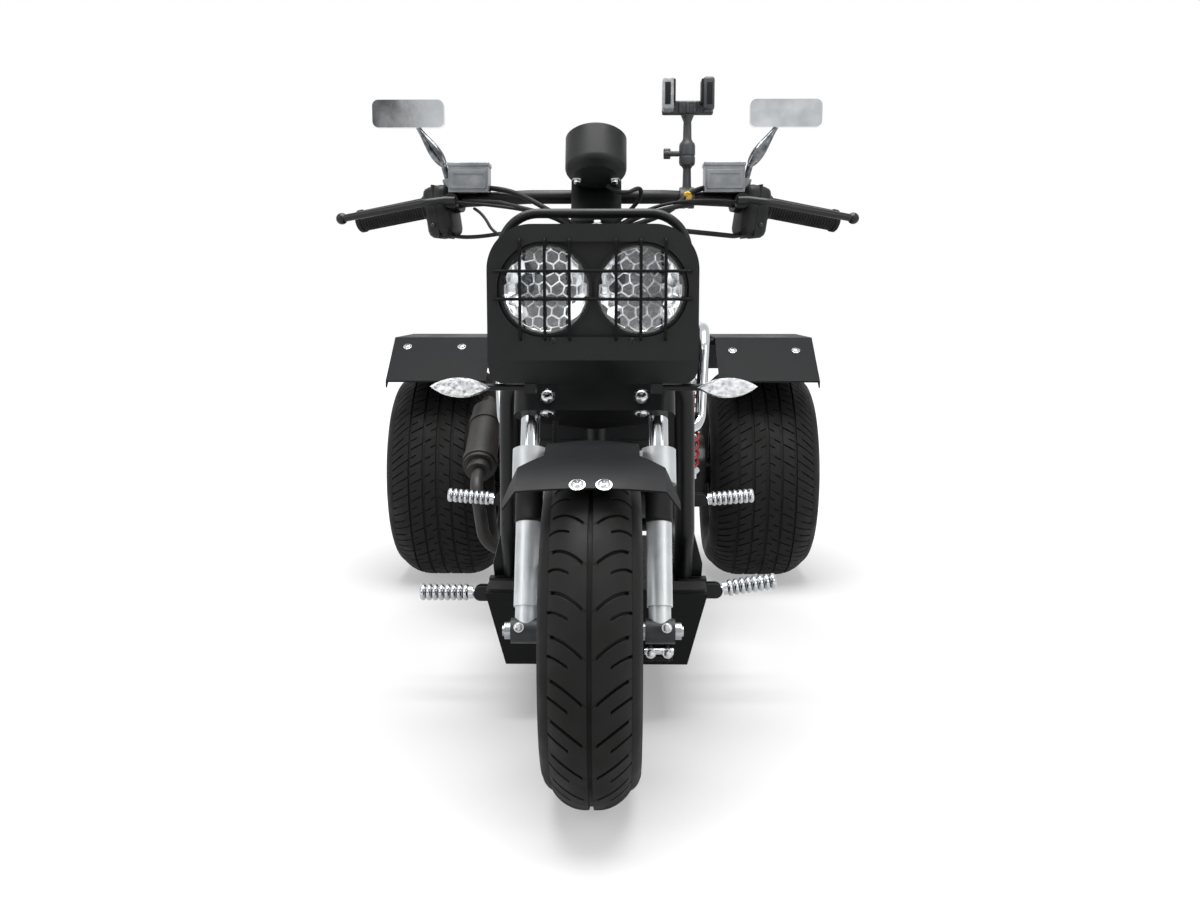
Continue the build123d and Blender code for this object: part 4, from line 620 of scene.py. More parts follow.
def reflector_cell(seed, others):
    """A flat cell round a seed, cut by the planes halfway to the others, as a bmesh in millimetres."""
    cell = bmesh.new()
    bmesh.ops.create_grid(cell, x_segments=1, y_segments=1, size=DISH_RIM)
    walls = [((seed + other) / 2, other - seed) for other in others if (other - seed).length < 3 * CELL_MM]
    for k in range(28):
        way = Vector((cos(k * pi / 14), sin(k * pi / 14), 0))
        walls.append((way * DISH_RIM, way))
    for at, way in walls:
        bmesh.ops.bisect_plane(
            cell, geom=cell.verts[:] + cell.edges[:] + cell.faces[:], dist=1e-4, plane_co=at, plane_no=way,
            clear_outer=True,
        )
    return cell


noise.seed_set(5)  # without a seed, the noise is shifted by another amount in each run
print("seeds for each lamp:", len(scattered_seeds(1)))

# %% [markdown]
# Each flat cell is inset for its ridge, poked for its hollow and laid on a dish. The hollows near the
# middle get a darker colour than the bright sides: a painted reflection of the dark inside of the lamp.

# %% Headlamp reflectors
LAMP_X, LAMP_Z = 66, 722
DISH_BACK, DISH_DEPTH = 52, 20
RIDGE_MM, HOLLOW_MM, PAINTED_REFLECTION_HALF = 1.5, 1.6, 34
# Painted reflection: the same metal film, coloured darker in the hollows near the middle to stand in for the
# dark inside of the lamp that they mirror.
hollow_painted_reflection = finish(
    "vacuum_metalled_reflector_painted_dark_reflection", ("#2c2f32", "#63676b"), (0.12, 0.32), 5, (CELLS, 3.2, 0.35),
    Metallic=1.0,
)
bm = bmesh.new()
for side in (-1, 1):
    seeds = scattered_seeds(side)
    for seed in (spot for spot in seeds if spot.length < DISH_RIM + 4):
        cell = reflector_cell(seed, [other for other in seeds if other is not seed])
        floors = cell.faces[:]
        for face in bmesh.ops.inset_individual(cell, faces=floors, thickness=RIDGE_MM)["faces"]:
            face.material_index = 0
        # Cells near the middle take slot 1, whose darker colour is a painted reflection of the lamp's dark
        # inside.
        for face in floors:
            face.material_index = 1 if abs(seed.x) < PAINTED_REFLECTION_HALF else 0
        bmesh.ops.poke(cell, faces=floors, offset=-HOLLOW_MM)
        for vert in cell.verts:
            x, z, rise = vert.co
            behind = DISH_BACK - DISH_DEPTH * (hypot(x, z) / DISH_RIM) ** 2
            vert.co = place(side * LAMP_X + x, behind - rise, LAMP_Z + z)
        join(bm, cell)
piece("headlamp_honeycomb", bm, [reflector_film, hollow_painted_reflection], "chassis", crisp=20)

# %% [markdown]
# The seat is foam in a vinyl cover. Its CAD solid is a plain block, so a copy of it is made with rounded
# edges, drawn in a little to leave room for swelling, and remeshed into even quads for the cloth.

# %% Seat copy
SHRINK, VOXEL = 0.004, 0.0065


def final_mesh(obj):
    """A new mesh with what an object's modifiers, bevel or text make of it."""
    graph = bpy.context.evaluated_depsgraph_get()
    graph.update()
    return bpy.data.meshes.new_from_object(obj.evaluated_get(graph))


def apply_all(obj):
    """Makes the modifiers' result the object's own mesh."""
    mesh = final_mesh(obj)
    obj.modifiers.clear()
    obj.data = mesh


bm = bmesh.new()
bm.from_mesh(nodes["seat_cushion"].data)
bmesh.ops.remove_doubles(bm, verts=bm.verts, dist=1e-5)
corners = [edge for edge in bm.edges if edge.is_manifold and edge.calc_face_angle() > radians(50)]
round_edges(bm, corners, 0.016, 3)
bm.normal_update()
for vert in bm.verts:
    vert.co -= vert.normal * SHRINK
mesh = bpy.data.meshes.new("seat_cover")
bm.to_mesh(mesh)
bm.free()
seat = into_scene("seat_cover", mesh)
remesh = seat.modifiers.new("even_quads", "REMESH")
remesh.mode, remesh.voxel_size = "VOXEL", VOXEL
apply_all(seat)
print("seat copy:", len(seat.data.vertices), "points")

# %% [markdown]
# Cloth with pressure inside swells the copy, which crowns the top and pulls the sides in, as foam does
# to a sewn cover. The movement is capped so that the pad stays in its place.

# %% Seat cushion
CUSHION_CAP = 0.012
before = [vert.co.copy() for vert in seat.data.vertices]
cloth = seat.modifiers.new("swell", "CLOTH")
cloth.settings.use_pressure = True
cloth.settings.uniform_pressure_force = 4.0
cloth.settings.effector_weights.gravity = 0.0
cloth.settings.quality = 4
cloth.point_cache.frame_start, cloth.point_cache.frame_end = 1, 20
for step in range(1, 21):
    bpy.context.scene.frame_set(step)
apply_all(seat)
bpy.context.scene.frame_set(1)
for vert, start in zip(seat.data.vertices, before):
    move = vert.co - start
    if move.length > CUSHION_CAP:
        vert.co = start + move * (CUSHION_CAP / move.length)
print("seat cover: capped at", CUSHION_CAP * 1000, "mm")

# %% [markdown]
# Channels sewn across the rider's place and the pillion hold the cover down to the foam. Each is a
# soft valley along a line, deepest on the top and fading down the sides. One level of subdivision
# then smooths the cover.

# %% Sewn channels
SEAT_BASE = 0.5936
CHANNELS = [830, 890, 950, 1010, 1172, 1228, 1284, 1340]
CHANNEL_DEPTH, CHANNEL_WIDTH = 0.0065, 5.5
for vert in seat.data.vertices:
    behind = vert.co.y * 1000 - FRONT_AXLE_Y
    height = (vert.co.z - SEAT_BASE) * 1000
    top_share = min(1.0, max(0.0, (height - 40) / 30))
    side_share = min(1.0, max(0.0, (128 - abs(vert.co.x) * 1000) / 14))
    for channel in CHANNELS:
        valley = exp(-((behind - channel) / CHANNEL_WIDTH) ** 2)
        vert.co.z -= CHANNEL_DEPTH * top_share * side_share * valley
    vert.co.z = max(vert.co.z, SEAT_BASE + 0.0004)
seat.data.shade_smooth()
smoother = seat.modifiers.new("smooth", "SUBSURF")
smoother.levels = smoother.render_levels = 1
seat.data.materials.clear()
seat.data.materials.append(seat_vinyl)
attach(seat, "seat")
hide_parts("seat_cushion")
print("sewn channels:", len(CHANNELS))

# %% [markdown]
# Fasteners finish the metalwork. A bolt head is a six-sided cone of equal ends with a bevelled crown,
# on a washer, and a dome is a lathe job with a socket. Each has to sit on the surface it holds, so a
# ray finds the place on the CAD node and the way that it faces there.

# %% Bolt makers
def hex_bolt(bm, spot, facing, across):
    """Adds a hexagon head of a width across corners, in millimetres, on its washer."""
    turn = Vector(facing).to_track_quat("Z", "Y").to_matrix().to_4x4()
    seat_frame = Matrix.Translation(spot) @ turn
    bmesh.ops.create_cone(
        bm, cap_ends=True, segments=20, radius1=across * 0.66 / 1000, radius2=across * 0.66 / 1000,
        depth=0.0016, matrix=seat_frame @ Matrix.Translation((0, 0, 0.0004)),
    )
    rise = Matrix.Translation((0, 0, across * 0.21 / 1000 + 0.001))
    head = bmesh.ops.create_cone(
        bm, cap_ends=True, segments=6, radius1=across * 0.5 / 1000, radius2=across * 0.5 / 1000,
        depth=across * 0.42 / 1000, matrix=seat_frame @ rise,
    )
    crown = list({edge for vert in head["verts"] for edge in vert.link_edges})
    round_edges(bm, crown, across * 0.045 / 1000, 2)


def dome_bolt(bm, spot, facing, across):
    """Adds a domed head with a socket, of a width in millimetres."""
    reach = across / 2
    outline = [(-0.4, reach * 1.25), (0.8, reach * 1.25), (1.0, reach)]
    outline += [(1.0 + 0.55 * reach * sin(k * pi / 12), reach * cos(k * pi / 12)) for k in range(1, 5)]
    outline += [(1.0 + 0.5 * reach, reach * 0.42), (0.6, reach * 0.38), (0.6, 0)]
    lathe(bm, outline, spot, facing, 20)


def surface(node, start, way):
    """Where a ray from a place first meets a CAD node, and the way that the surface faces there."""
    bm = bmesh.new()
    bm.from_mesh(nodes[node].data)
    found, normal, _, _ = BVHTree.FromBMesh(bm).ray_cast(start, way.normalized())
    bm.free()
    if found is None:
        raise ValueError("no surface of " + node + " ahead of " + str(tuple(start)))
    return found, normal if normal.dot(way) < 0 else -normal


# %% [markdown]
# A table gives each fastener its body, the node that it sits on, its finish, kind and width, and the
# place and way from which to look for the surface. Bolts that stand in a circle or in pairs are
# added by loops.

# %% Fastener table
SLOPE = Vector((0, 0.59, -0.81))
FASTENERS = [
    # body, node, finish, kind, across, way to look, (across, behind, height) to look from
    ("chassis", "rear_mudguard_left", zinc_steel, dome_bolt, 16, SLOPE, (311, 1150, 650)),
    ("chassis", "rear_mudguard_left", zinc_steel, dome_bolt, 16, SLOPE, (462, 1150, 650)),
    ("chassis", "rear_mudguard_right", zinc_steel, dome_bolt, 16, SLOPE, (-340, 1160, 660)),
    ("chassis", "rear_mudguard_right", zinc_steel, dome_bolt, 16, SLOPE, (-471, 1160, 660)),
    ("chassis", "headlamp_fairing", anodised_black, dome_bolt, 9, BACKWARD, (-55, -60, 652)),
    ("chassis", "headlamp_fairing", anodised_black, dome_bolt, 9, BACKWARD, (55, -60, 652)),
    ("chassis", "headlamp_fairing", zinc_steel, hex_bolt, 11, DOWN, (6, 24, 880)),
]
BELT_CASE_BOLTS = [
    (1050, 372), (985, 330), (980, 250), (1050, 214), (1130, 214), (1203, 213), (1262, 290), (1203, 338),
]


def lug_circle(across, behind, height, radius):
    """Five places round an axle, in millimetres, the first at the top."""
    turns = [radians(90 + 72 * lug) for lug in range(5)]
    return [(across, behind + radius * cos(turn), height + radius * sin(turn)) for turn in turns]


for side, name in ((1, "left"), (-1, "right")):
    inward = RIGHT * side
    FASTENERS += [
        ("steering", "front_mudguard", zinc_steel, dome_bolt, 17, BACKWARD, (side * 17, -260, 475)),
        ("steering", "steering_yoke", zinc_steel, dome_bolt, 19, BACKWARD, (side * 70, -100, 566)),
        ("steering", "steering_yoke", zinc_steel, dome_bolt, 19, BACKWARD, (side * 70, -100, 541)),
        ("steering", "fork_legs", zinc_steel, hex_bolt, 11, BACKWARD, (side * 104, -160, 252)),
        ("steering", "speedometer", zinc_steel, hex_bolt, 12, BACKWARD, (side * 29, -100, 893)),
        ("chassis", "belly_pan", anodised_black, dome_bolt, 12, inward, (side * 400, 330, 170)),
        ("chassis", "belly_pan", anodised_black, dome_bolt, 12, inward, (side * 400, 700, 170)),
        ("chassis", "tail_bracket", zinc_steel, hex_bolt, 10, FORWARD, (side * 36, 1700, 470)),
    ]
    for spot in lug_circle(side * 600, WHEELBASE, REAR_AXLE_Z, 50):
        FASTENERS.append(("rear_wheel_" + name, "rear_rim_" + name, zinc_steel, hex_bolt, 19, inward, spot))
for spot in lug_circle(-140, 0, FRONT_AXLE_Z, 34):
    FASTENERS.append(("front_wheel", "front_brake_disc", zinc_steel, dome_bolt, 9, LEFT, spot))
for behind, height in BELT_CASE_BOLTS:
    FASTENERS.append(("chassis", "belt_case", zinc_steel, hex_bolt, 10, RIGHT, (200, behind, height)))
for node, kind, size, across, rearward in (
    ("steering_yoke", dome_bolt, 12, 28, -14), ("steering_yoke", dome_bolt, 12, 28, 14),
    ("fork_stanchions", hex_bolt, 26, 95, -26),
):
    for side in (-1, 1):
        above = steer_place(side * across, rearward, 760) * 1000
        spot = (above.x, above.y - FRONT_AXLE_Y, above.z)
        FASTENERS.append(("steering", node, zinc_steel, kind, size, -STEER_UP, spot))
print("fasteners:", len(FASTENERS))

# %% [markdown]
# All fasteners of one body become one joined mesh, so that they ride together. Faces that a maker has
# just added are the ones that weren't in the bmesh before, and those get the finish of their row.

# %% Fasteners
def paint_new(bm, before, index):
    """Gives the faces that weren't there before a material index, and returns them."""
    fresh = [face for face in bm.faces if face not in before]
    for face in fresh:
        face.material_index = index
    return fresh


for body in sorted({row[0] for row in FASTENERS}):
    bm = bmesh.new()
    for carried_by, node, metal, kind, across, way, spot in FASTENERS:
        if carried_by == body:
            before = set(bm.faces)
            kind(bm, *surface(node, place(*spot), way), across)
            paint_new(bm, before, 0 if metal is zinc_steel else 1)
    piece("fasteners_" + body, bm, [zinc_steel, anodised_black], body)

# %% [markdown]
# The grips are rubber sleeves with fine rings that the fingers feel. They replace the plain CAD
# sleeves: one outline with its rings is spun round the handlebar's outer straight on each side.

# %% Grips
BAR_KNEE = Vector((215, -360.07, 867.87))
BAR_WAY = Vector((180, 60, -29)).normalized()
RING_COUNT, RING_STEP = 23, 5


def mirrored(vector, side):
    """A vector given for the left side, as it is on a side."""
    return Vector((side * vector.x, vector.y, vector.z))


def on_bar(side, reach):
    """A place in metres on the outer straight of the bar, so many millimetres out from its bend."""
    return mirrored(BAR_KNEE + BAR_WAY * reach, side) / 1000


bm = bmesh.new()
outline = [(190, 0), (190, 11.2), (66, 11.2), (66, 20), (67.5, 21), (70.5, 21), (72, 20), (72, 17)]
for ring in range(RING_COUNT):
    start = 74 + ring * RING_STEP
    outline += [(start, 16.2), (start + 0.8, 17.3), (start + 3.0, 17.3), (start + 3.8, 16.2)]
outline += [(190, 17), (190, 18.2), (191, 19), (197, 19), (198, 18), (198, 8), (196.8, 7), (196.8, 0)]
for side in (-1, 1):
    lathe(bm, outline, on_bar(side, 0), mirrored(BAR_WAY, side), 44)
piece("grip_sleeves_ringed", bm, soft_rubber, "steering", ["grips"])

# %% [markdown]
# The upper part of each fork leg, below its collar, wears a black rubber sleeve.
# It is a closed outline spun round the leg, with a thicker lip at its lower end.

# %% Fork sleeves
LEG_ACROSS, LEG_REARWARD = 95, -26
bm = bmesh.new()
sleeve = [(157, 18.4), (157, 19.6), (158.5, 20.4), (162, 20.4), (163, 19.8)]
sleeve += [(210, 20.2), (214.8, 20.2), (214.8, 18.4)]
for side in (-1, 1):
    lathe(bm, sleeve, steer_place(side * LEG_ACROSS, LEG_REARWARD, 0), STEER_UP, 40, closed=True)
piece("fork_sleeves", bm, soft_rubber, "steering")

# %% [markdown]
# Small boxes with rounded edges turn up all over a vehicle: lids, buttons, brackets. A helper makes
# one from a cube and a bevel. Here they are the lids of the brake fluid reservoirs, with a sunk panel
# in front and two screws on top.

# %% Reservoir lids
RESERVOIR_MM = (205, 320.2, 899.8)


def rounded_box(bm, at, size, edge, paint=0, turn=None):
    """Adds a box of a size in millimetres, with rounded edges, centred at a place in metres."""
    before = set(bm.faces)
    scale = Matrix.Diagonal([value / 1000 for value in size] + [1])
    made = bmesh.ops.create_cube(bm, size=1, matrix=Matrix.Translation(at) @ (turn or Matrix()) @ scale)
    round_edges(bm, list({link for vert in made["verts"] for link in vert.link_edges}), edge / 1000, 3)
    return paint_new(bm, before, paint)


bm = bmesh.new()
for side in (-1, 1):
    across, behind, height = side * RESERVOIR_MM[0], RESERVOIR_MM[1], RESERVOIR_MM[2]
    rounded_box(bm, place(across, behind, height + 22), (67, 47, 7), 2.0)
    panel = rounded_box(bm, place(across, behind - 22, height - 2), (58, 3.4, 30), 1.4)
    front = [face for face in panel if face.normal.y < -0.9]
    bmesh.ops.inset_region(bm, faces=front, thickness=0.005, depth=-0.0016, use_boundary=True)
    for shift in (-26, 26):
        dome_bolt(bm, place(across + shift, behind, height + 25.2), UP, 7)
piece("reservoir_lids", bm, grey_lacquer, "steering")

# %% [markdown]
# The switch housings are two moulded halves with a seam between them, buttons towards the rider and
# screws in front. The stop button on the right is red.

# %% Switch shells and buttons
SWITCH_REACH = 41
bm = bmesh.new()
for side in (-1, 1):
    turn = mirrored(BAR_WAY, side).to_track_quat("X", "Z").to_matrix().to_4x4()
    middle = on_bar(side, SWITCH_REACH)
    shell = middle + Vector((0, -0.001, -0.012))
    rounded_box(bm, shell, (46, 54, 84), 13, 2, turn)
    rounded_box(bm, shell, (3, 56, 86), 1.2, 2, turn)
    rounded_box(bm, middle + Vector((0, 0.0275, 0.006)), (26, 6, 12), 2.0, 0, turn)
    rounded_box(bm, middle + Vector((0, 0.0275, -0.016)), (16, 6, 10), 2.0, 1 if side < 0 else 0, turn)
    for shift in (-0.013, 0.013):
        dome_bolt(bm, middle + Vector((shift, -0.0275, -0.034)), FORWARD, 5)
piece("switch_buttons", bm, [nylon_grey, red_enamel, abs_black], "steering")

# %% [markdown]
# The phone holder is a clamp on the bar, a ball joint with a thumbscrew and a cradle with two padded
# jaws. It is glass-filled nylon with rubber pads, and a brass screw closes the clamp. The CAD shape
# is plain boxes, so a rounded one takes its place.

# %% Phone holder
HOLDER_MM = (146, 326.73, 870.5)
# Unfilled nylon of the outer jaw: paler, with the same fine moulded cells.
pale_nylon = finish(
    "nylon_moulded_mid_grey", ("#8b8e91", "#a9acaf"), (0.40, 0.55), 12, (CELLS, 0.9, 0.05), IOR=1.53
)


def at_holder(across, behind, height):
    """A place in metres from millimetres about the middle of the holder's clamp."""
    return place(HOLDER_MM[0] + across, HOLDER_MM[1] + behind, HOLDER_MM[2] + height)


bm = bmesh.new()
clamp = [(-12, 11.3), (-12, 16), (-11, 17), (-3, 17), (-2.4, 16.2), (2.4, 16.2), (3, 17), (11, 17), (12, 16)]
lathe(bm, clamp + [(12, 11.3)], at_holder(0, 0, 0), LEFT, 40, closed=True)
post = [(14, 0), (14, 8), (20, 7), (46, 6.4), (50, 9), (52, 12), (56, 13), (64, 13), (65, 12.2), (67, 12.2)]
post += [(68, 13), (82, 13), (86, 12), (89, 9), (93, 7), (120, 6.4), (126, 9), (131, 11), (131, 0)]
lathe(bm, post, at_holder(0, 0, 0), UP, 40)
lathe(bm, [(0, 0), (0, 4.4), (20, 4.4), (20, 0)], at_holder(-10, 0, 70), RIGHT, 20)
knob = [(17, 0), (17, 3.4), (18, 4.2), (27, 4.2), (28, 3.4), (28, 0)]
for lobe in range(6):
    turn = lobe * pi / 3
    lathe(bm, knob, at_holder(-10, 4.6 * cos(turn), 70 + 4.6 * sin(turn)), RIGHT, 14)
rounded_box(bm, at_holder(0, 2, 142), (82, 12, 22), 3)
for shift in (-24, -12, 0, 12, 24):
    rounded_box(bm, at_holder(shift, -4.6, 142), (6, 3, 18), 1.2)
for side, paint in ((-1, 1), (1, 0)):
    rounded_box(bm, at_holder(side * 32, -12, 160), (18, 40, 52), 5, paint)
    rounded_box(bm, at_holder(side * 22.4, -12, 164), (4, 34, 38), 1.6, 2)
    rounded_box(bm, at_holder(side * 33, -32.2, 160), (9, 2.6, 34), 1.0, 2)
before = set(bm.faces)
screw = [(15, 0), (15, 4), (18, 4), (18, 7), (19, 8), (27, 8), (28, 7), (28, 0)]
lathe(bm, screw, at_holder(0, 0, 0), FORWARD, 18)
paint_new(bm, before, 3)
piece(
    "phone_holder_moulded", bm, [nylon_grey, pale_nylon, soft_rubber, brass], "steering",
    ["phone_holder"],
)

# %% [markdown]
# Cables and hoses run from the controls to a guide on the steering stem. Each is a smooth curve with a
# round section: a NURBS line with a few listed points, given a bevel and made into a mesh.
# They all turn with the handlebar, so they ride on the steering and end at the stem.

# %% Cables and hoses
def hose(name, route, radius, material, body="steering", ring=False):
    """A smooth round hose, or a closed ring, along places in metres; its radius is in millimetres."""
    line = bpy.data.curves.new(name, "CURVE")
    line.dimensions = "3D"
    spline = line.splines.new("NURBS")
    spline.points.add(len(route) - 1)
    for point, spot in zip(spline.points, route):
        point.co = (*spot, 1)
    spline.order_u, spline.use_endpoint_u, spline.resolution_u = 3, not ring, 3 if ring else 10
    spline.use_cyclic_u = ring
    line.bevel_depth, line.bevel_resolution, line.use_fill_caps = radius / 1000, 4, True
    draft = into_scene(name + "_line", line)
    mesh = final_mesh(draft)
    bm = bmesh.new()
    bm.from_mesh(mesh)
    bpy.data.objects.remove(draft)
    bpy.data.meshes.remove(mesh)
    return piece(name, bm, material, body)


GUIDE = (0, 270, 806)
HOSES = [
    # name, radius, places across, behind and up before the guide
    ("throttle_cable", 3.2, [(-252, 352, 836), (-250, 344, 812), (-200, 312, 806), (-120, 268, 816)]),
    ("front_brake_hose", 4.2, [(-174, 322, 886), (-150, 316, 884), (-110, 282, 868), (-60, 258, 838)]),
    ("brake_light_wire_right", 2.6, [(-226, 300, 862), (-180, 286, 858), (-100, 268, 846), (-40, 256, 824)]),
    ("switch_loom_left", 4.0, [(252, 352, 836), (246, 344, 808), (190, 306, 812), (100, 262, 818)]),
    ("rear_brake_hose", 4.2, [(174, 322, 886), (150, 314, 880), (120, 276, 846), (60, 254, 822)]),
    ("brake_light_wire_left", 2.6, [(226, 300, 862), (176, 288, 866), (96, 270, 856), (40, 256, 826)]),
    ("horn_wire", 2.4, [(-196, 300, 852), (-178, 266, 842), (-158, 244, 806), (-90, 240, 790)]),
    ("speedometer_cable", 3.4, [(18, 256, 884), (40, 246, 866), (74, 262, 886), (66, 280, 852)]),
]
for name, radius, route in HOSES:
    hose(name, [place(*spot) for spot in route + [GUIDE]], radius, soft_rubber)

# %% [markdown]
# The rider sees the dial: a black face with white marks, a needle and a hub. The marks are small flat
# boxes, laid out round the dial in a frame whose X axis points to the rider's right.

# %% Dial face
DIAL = steer_place(0, -73, 765.3)
DIAL_START, DIAL_SWEEP = 225, 270
MARKS = 32
dial_frame = Matrix((
    (-1, 0, 0, DIAL.x),
    (0, -STEER_SIDE.y, STEER_UP.y, DIAL.y),
    (0, -STEER_SIDE.z, STEER_UP.z, DIAL.z),
    (0, 0, 0, 1),
))


def dial_bar(bm, turn, out, size, lift, paint):
    """Adds a flat bar that points outwards on the dial, in metres, with a material index."""
    arm = Matrix.Rotation(turn, 4, "Z") @ Matrix.Translation((out, 0, lift))
    made = bmesh.ops.create_cube(bm, size=1, matrix=dial_frame @ arm @ Matrix.Diagonal((*size, 1)))
    for vert in made["verts"]:
        for face in vert.link_faces:
            face.material_index = paint


bm = bmesh.new()
lathe(bm, [(-0.2, 42.6), (0.1, 42.6), (0.1, 0)], DIAL, STEER_UP, 48)
for step in range(MARKS + 1):
    length, width = (7, 0.0012) if step % 4 == 0 else (4, 0.0007)
    turn = radians(DIAL_START - step * DIAL_SWEEP / MARKS)
    dial_bar(bm, turn, (40 - length / 2) / 1000, (length / 1000, width, 0.0004), 0.0003, 1)
dial_bar(bm, radians(DIAL_START), 0.012, (0.038, 0.0016, 0.0006), 0.0012, 2)
lathe(bm, [(0.2, 4.5), (1.6, 4.5), (2.2, 3.6), (2.2, 0)], DIAL, STEER_UP, 24)
piece("speedometer_dial", bm, [abs_black, dial_ink, red_enamel], "steering")

# %% [markdown]
# The numbers are text that is made a mesh before it is laid on the dial, because text that is moved as
# an object would lose its place in the export. A thin domed glass closes the dial.

# %% Dial numbers and glass
NUMBER_RADIUS, NUMBER_SIZE = 0.0275, 0.0075
bm = bmesh.new()
for step in range(9):
    turn = radians(DIAL_START - step * DIAL_SWEEP / 8)
    text = bpy.data.curves.new("number", "FONT")
    text.body, text.size, text.align_x, text.align_y = str(step * 20), NUMBER_SIZE, "CENTER", "CENTER"
    draft = into_scene("number", text)
    mesh = final_mesh(draft)
    at = Vector((NUMBER_RADIUS * cos(turn), NUMBER_RADIUS * sin(turn), 0.0004))
    mesh.transform(dial_frame @ Matrix.Translation(at))
    bm.from_mesh(mesh)
    bpy.data.objects.remove(draft)
    bpy.data.meshes.remove(mesh)
piece("speedometer_numbers", bm, dial_ink, "steering")
bm = bmesh.new()
lathe(bm, [(2.4, 0), (2.4, 42.5), (3.4, 42.5), (4.2, 20), (4.4, 0)], DIAL, STEER_UP, 48)
piece("speedometer_glass", bm, dial_glass, "steering")

# %% [markdown]
# The floor board carries a rubber mat with raised ribs, so that a wet sole does not slip. One rounded
# rib is laid out again and again across the board, clear of the cut-outs for the tubes.

# %% Floor mat ribs
RIB_MIDDLE, RIB_HEIGHT = 228.8, 3.6
bm = bmesh.new()
for side in (-1, 1):
    for rib in range(7):
        rounded_box(bm, place(side * (34 + rib * 13), 520, RIB_MIDDLE), (7, 300, RIB_HEIGHT), 1.4)
    for rib in range(6):
        rounded_box(bm, place(side * 150, 515 + rib * 32, RIB_MIDDLE), (46, 9, RIB_HEIGHT), 1.4)
piece("floor_mat_ribs", bm, soft_rubber, "chassis")

# %% [markdown]
# A few more lines belong to the engine: a rubber boot from the air cleaner to the cylinder, the lead of
# the spark plug, and the fuel line from the tank. On the fork, the brake hose comes down to the caliper.

# %% Engine lines and brake hose
LINES = [
    # name, body, radius, places across, behind and up
    ("intake_boot", "chassis", 17, [(95, 1084, 434), (60, 1050, 436), (0, 960, 415), (-20, 925, 361)]),
    ("spark_plug_lead", "chassis", 3.6, [
        (-83, 880, 318), (-104, 890, 340), (-90, 960, 400), (-60, 1040, 402),
    ]),
    ("fuel_line", "chassis", 3.6, [(30, 980, 486), (30, 968, 462), (28, 984, 446), (18, 985, 420)]),
    ("caliper_hose", "steering", 4.0, [(-66, 86, 300), (-64, 112, 330), (-60, 124, 430), (-58, 128, 530)]),
]
for name, body, radius, route in LINES:
    hose(name, [place(*spot) for spot in route], radius, soft_rubber, body)

# %% [markdown]
# A small bracket with a steel roller sits low on the front of the belly pan: a hook for a tie-down.
# Its plate and two cheeks are rounded boxes, and a ray finds the pan's front for them.

# %% Tie-down hook
bm = bmesh.new()
found, _ = surface("belly_pan", place(104, -100, 118), BACKWARD)
rounded_box(bm, found + Vector((0, -0.010, 0)), (46, 22, 10), 2)
for shift in (-0.014, 0.014):
    rounded_box(bm, found + Vector((shift, -0.018, 0.010)), (6, 26, 26), 1.5)
before = set(bm.faces)
for shift in (-0.014, 0.014):
    hex_bolt(bm, found + Vector((shift, -0.031, 0.012)), FORWARD, 13)
lathe(bm, [(-24, 0), (-24, 6), (24, 6), (24, 0)], found + Vector((0, -0.020, 0.012)), LEFT, 20)
paint_new(bm, before, 1)
piece("tie_down_hook", bm, [coat_black, zinc_steel], "chassis")

# %% [markdown]
# Piping is sewn round the foot of the seat. It follows a slice through the finished cover, so it fits
# however the cushion was shaped: the points of the slice are put in order round its middle, and
# every third one is kept for the curve.

# %% Seat piping
PIPING_HEIGHT, PIPING_RADIUS = 0.010, 3.0
bm = bmesh.new()
bm.from_object(seat, bpy.context.evaluated_depsgraph_get())
cut = bmesh.ops.bisect_plane(
    bm, geom=bm.verts[:] + bm.edges[:] + bm.faces[:], plane_co=(0, 0, SEAT_BASE + PIPING_HEIGHT), plane_no=UP
)["geom_cut"]
slice_points = [item.co.copy() for item in cut if isinstance(item, bmesh.types.BMVert)]
bm.free()
middle = sum(slice_points, Vector()) / len(slice_points)
slice_points.sort(key=lambda spot: atan2(spot.x - middle.x, spot.y - middle.y))
hose("seat_piping", slice_points[::3], PIPING_RADIUS, seat_vinyl, "seat", ring=True)

# %% [markdown]
# The fuel cap shows when the seat is up. It is a turned dome on a flange, with twelve rounded grips
# round its edge for the fingers.

# %% Fuel cap
CAP_BEHIND, GRIP_RADIUS = 1100, 26
bm = bmesh.new()
cap = [(-0.5, 0), (-0.5, 33), (3, 33), (4.5, 31), (4.5, 28), (6, 26.5), (14, 25.5), (16, 23), (16.4, 0)]
lathe(bm, cap, place(0, CAP_BEHIND, 558), UP, 40)
for grip in range(12):
    turn = radians(30 * grip)
    at = place(GRIP_RADIUS * sin(turn), CAP_BEHIND + GRIP_RADIUS * cos(turn), 567.5)
    rounded_box(bm, at, (6, 4, 9), 1.2, 0, Matrix.Rotation(-turn, 4, "Z"))
piece("fuel_cap", bm, abs_black, "chassis")

# %% [markdown]
# A tail lamp has flutes that spread its light, and the splash plate behind the front wheel has ribs
# pressed into it that keep it stiff. Both are rows of rounded boxes sunk half into the CAD surface.

# %% Tail lamp flutes and splash plate ribs
bm = bmesh.new()
corners = [nodes["tail_lamp"].matrix_world @ Vector(corner) for corner in nodes["tail_lamp"].bound_box]
middle = sum(corners, Vector()) / 8
back_face = max(corner.y for corner in corners)
for flute in range(-3, 4):
    rounded_box(bm, Vector((0, back_face + 0.0004, middle.z + flute * 0.0052)), (124, 2.6, 3.4), 1.0)
piece("tail_lamp_flutes", bm, red_lens, "chassis")

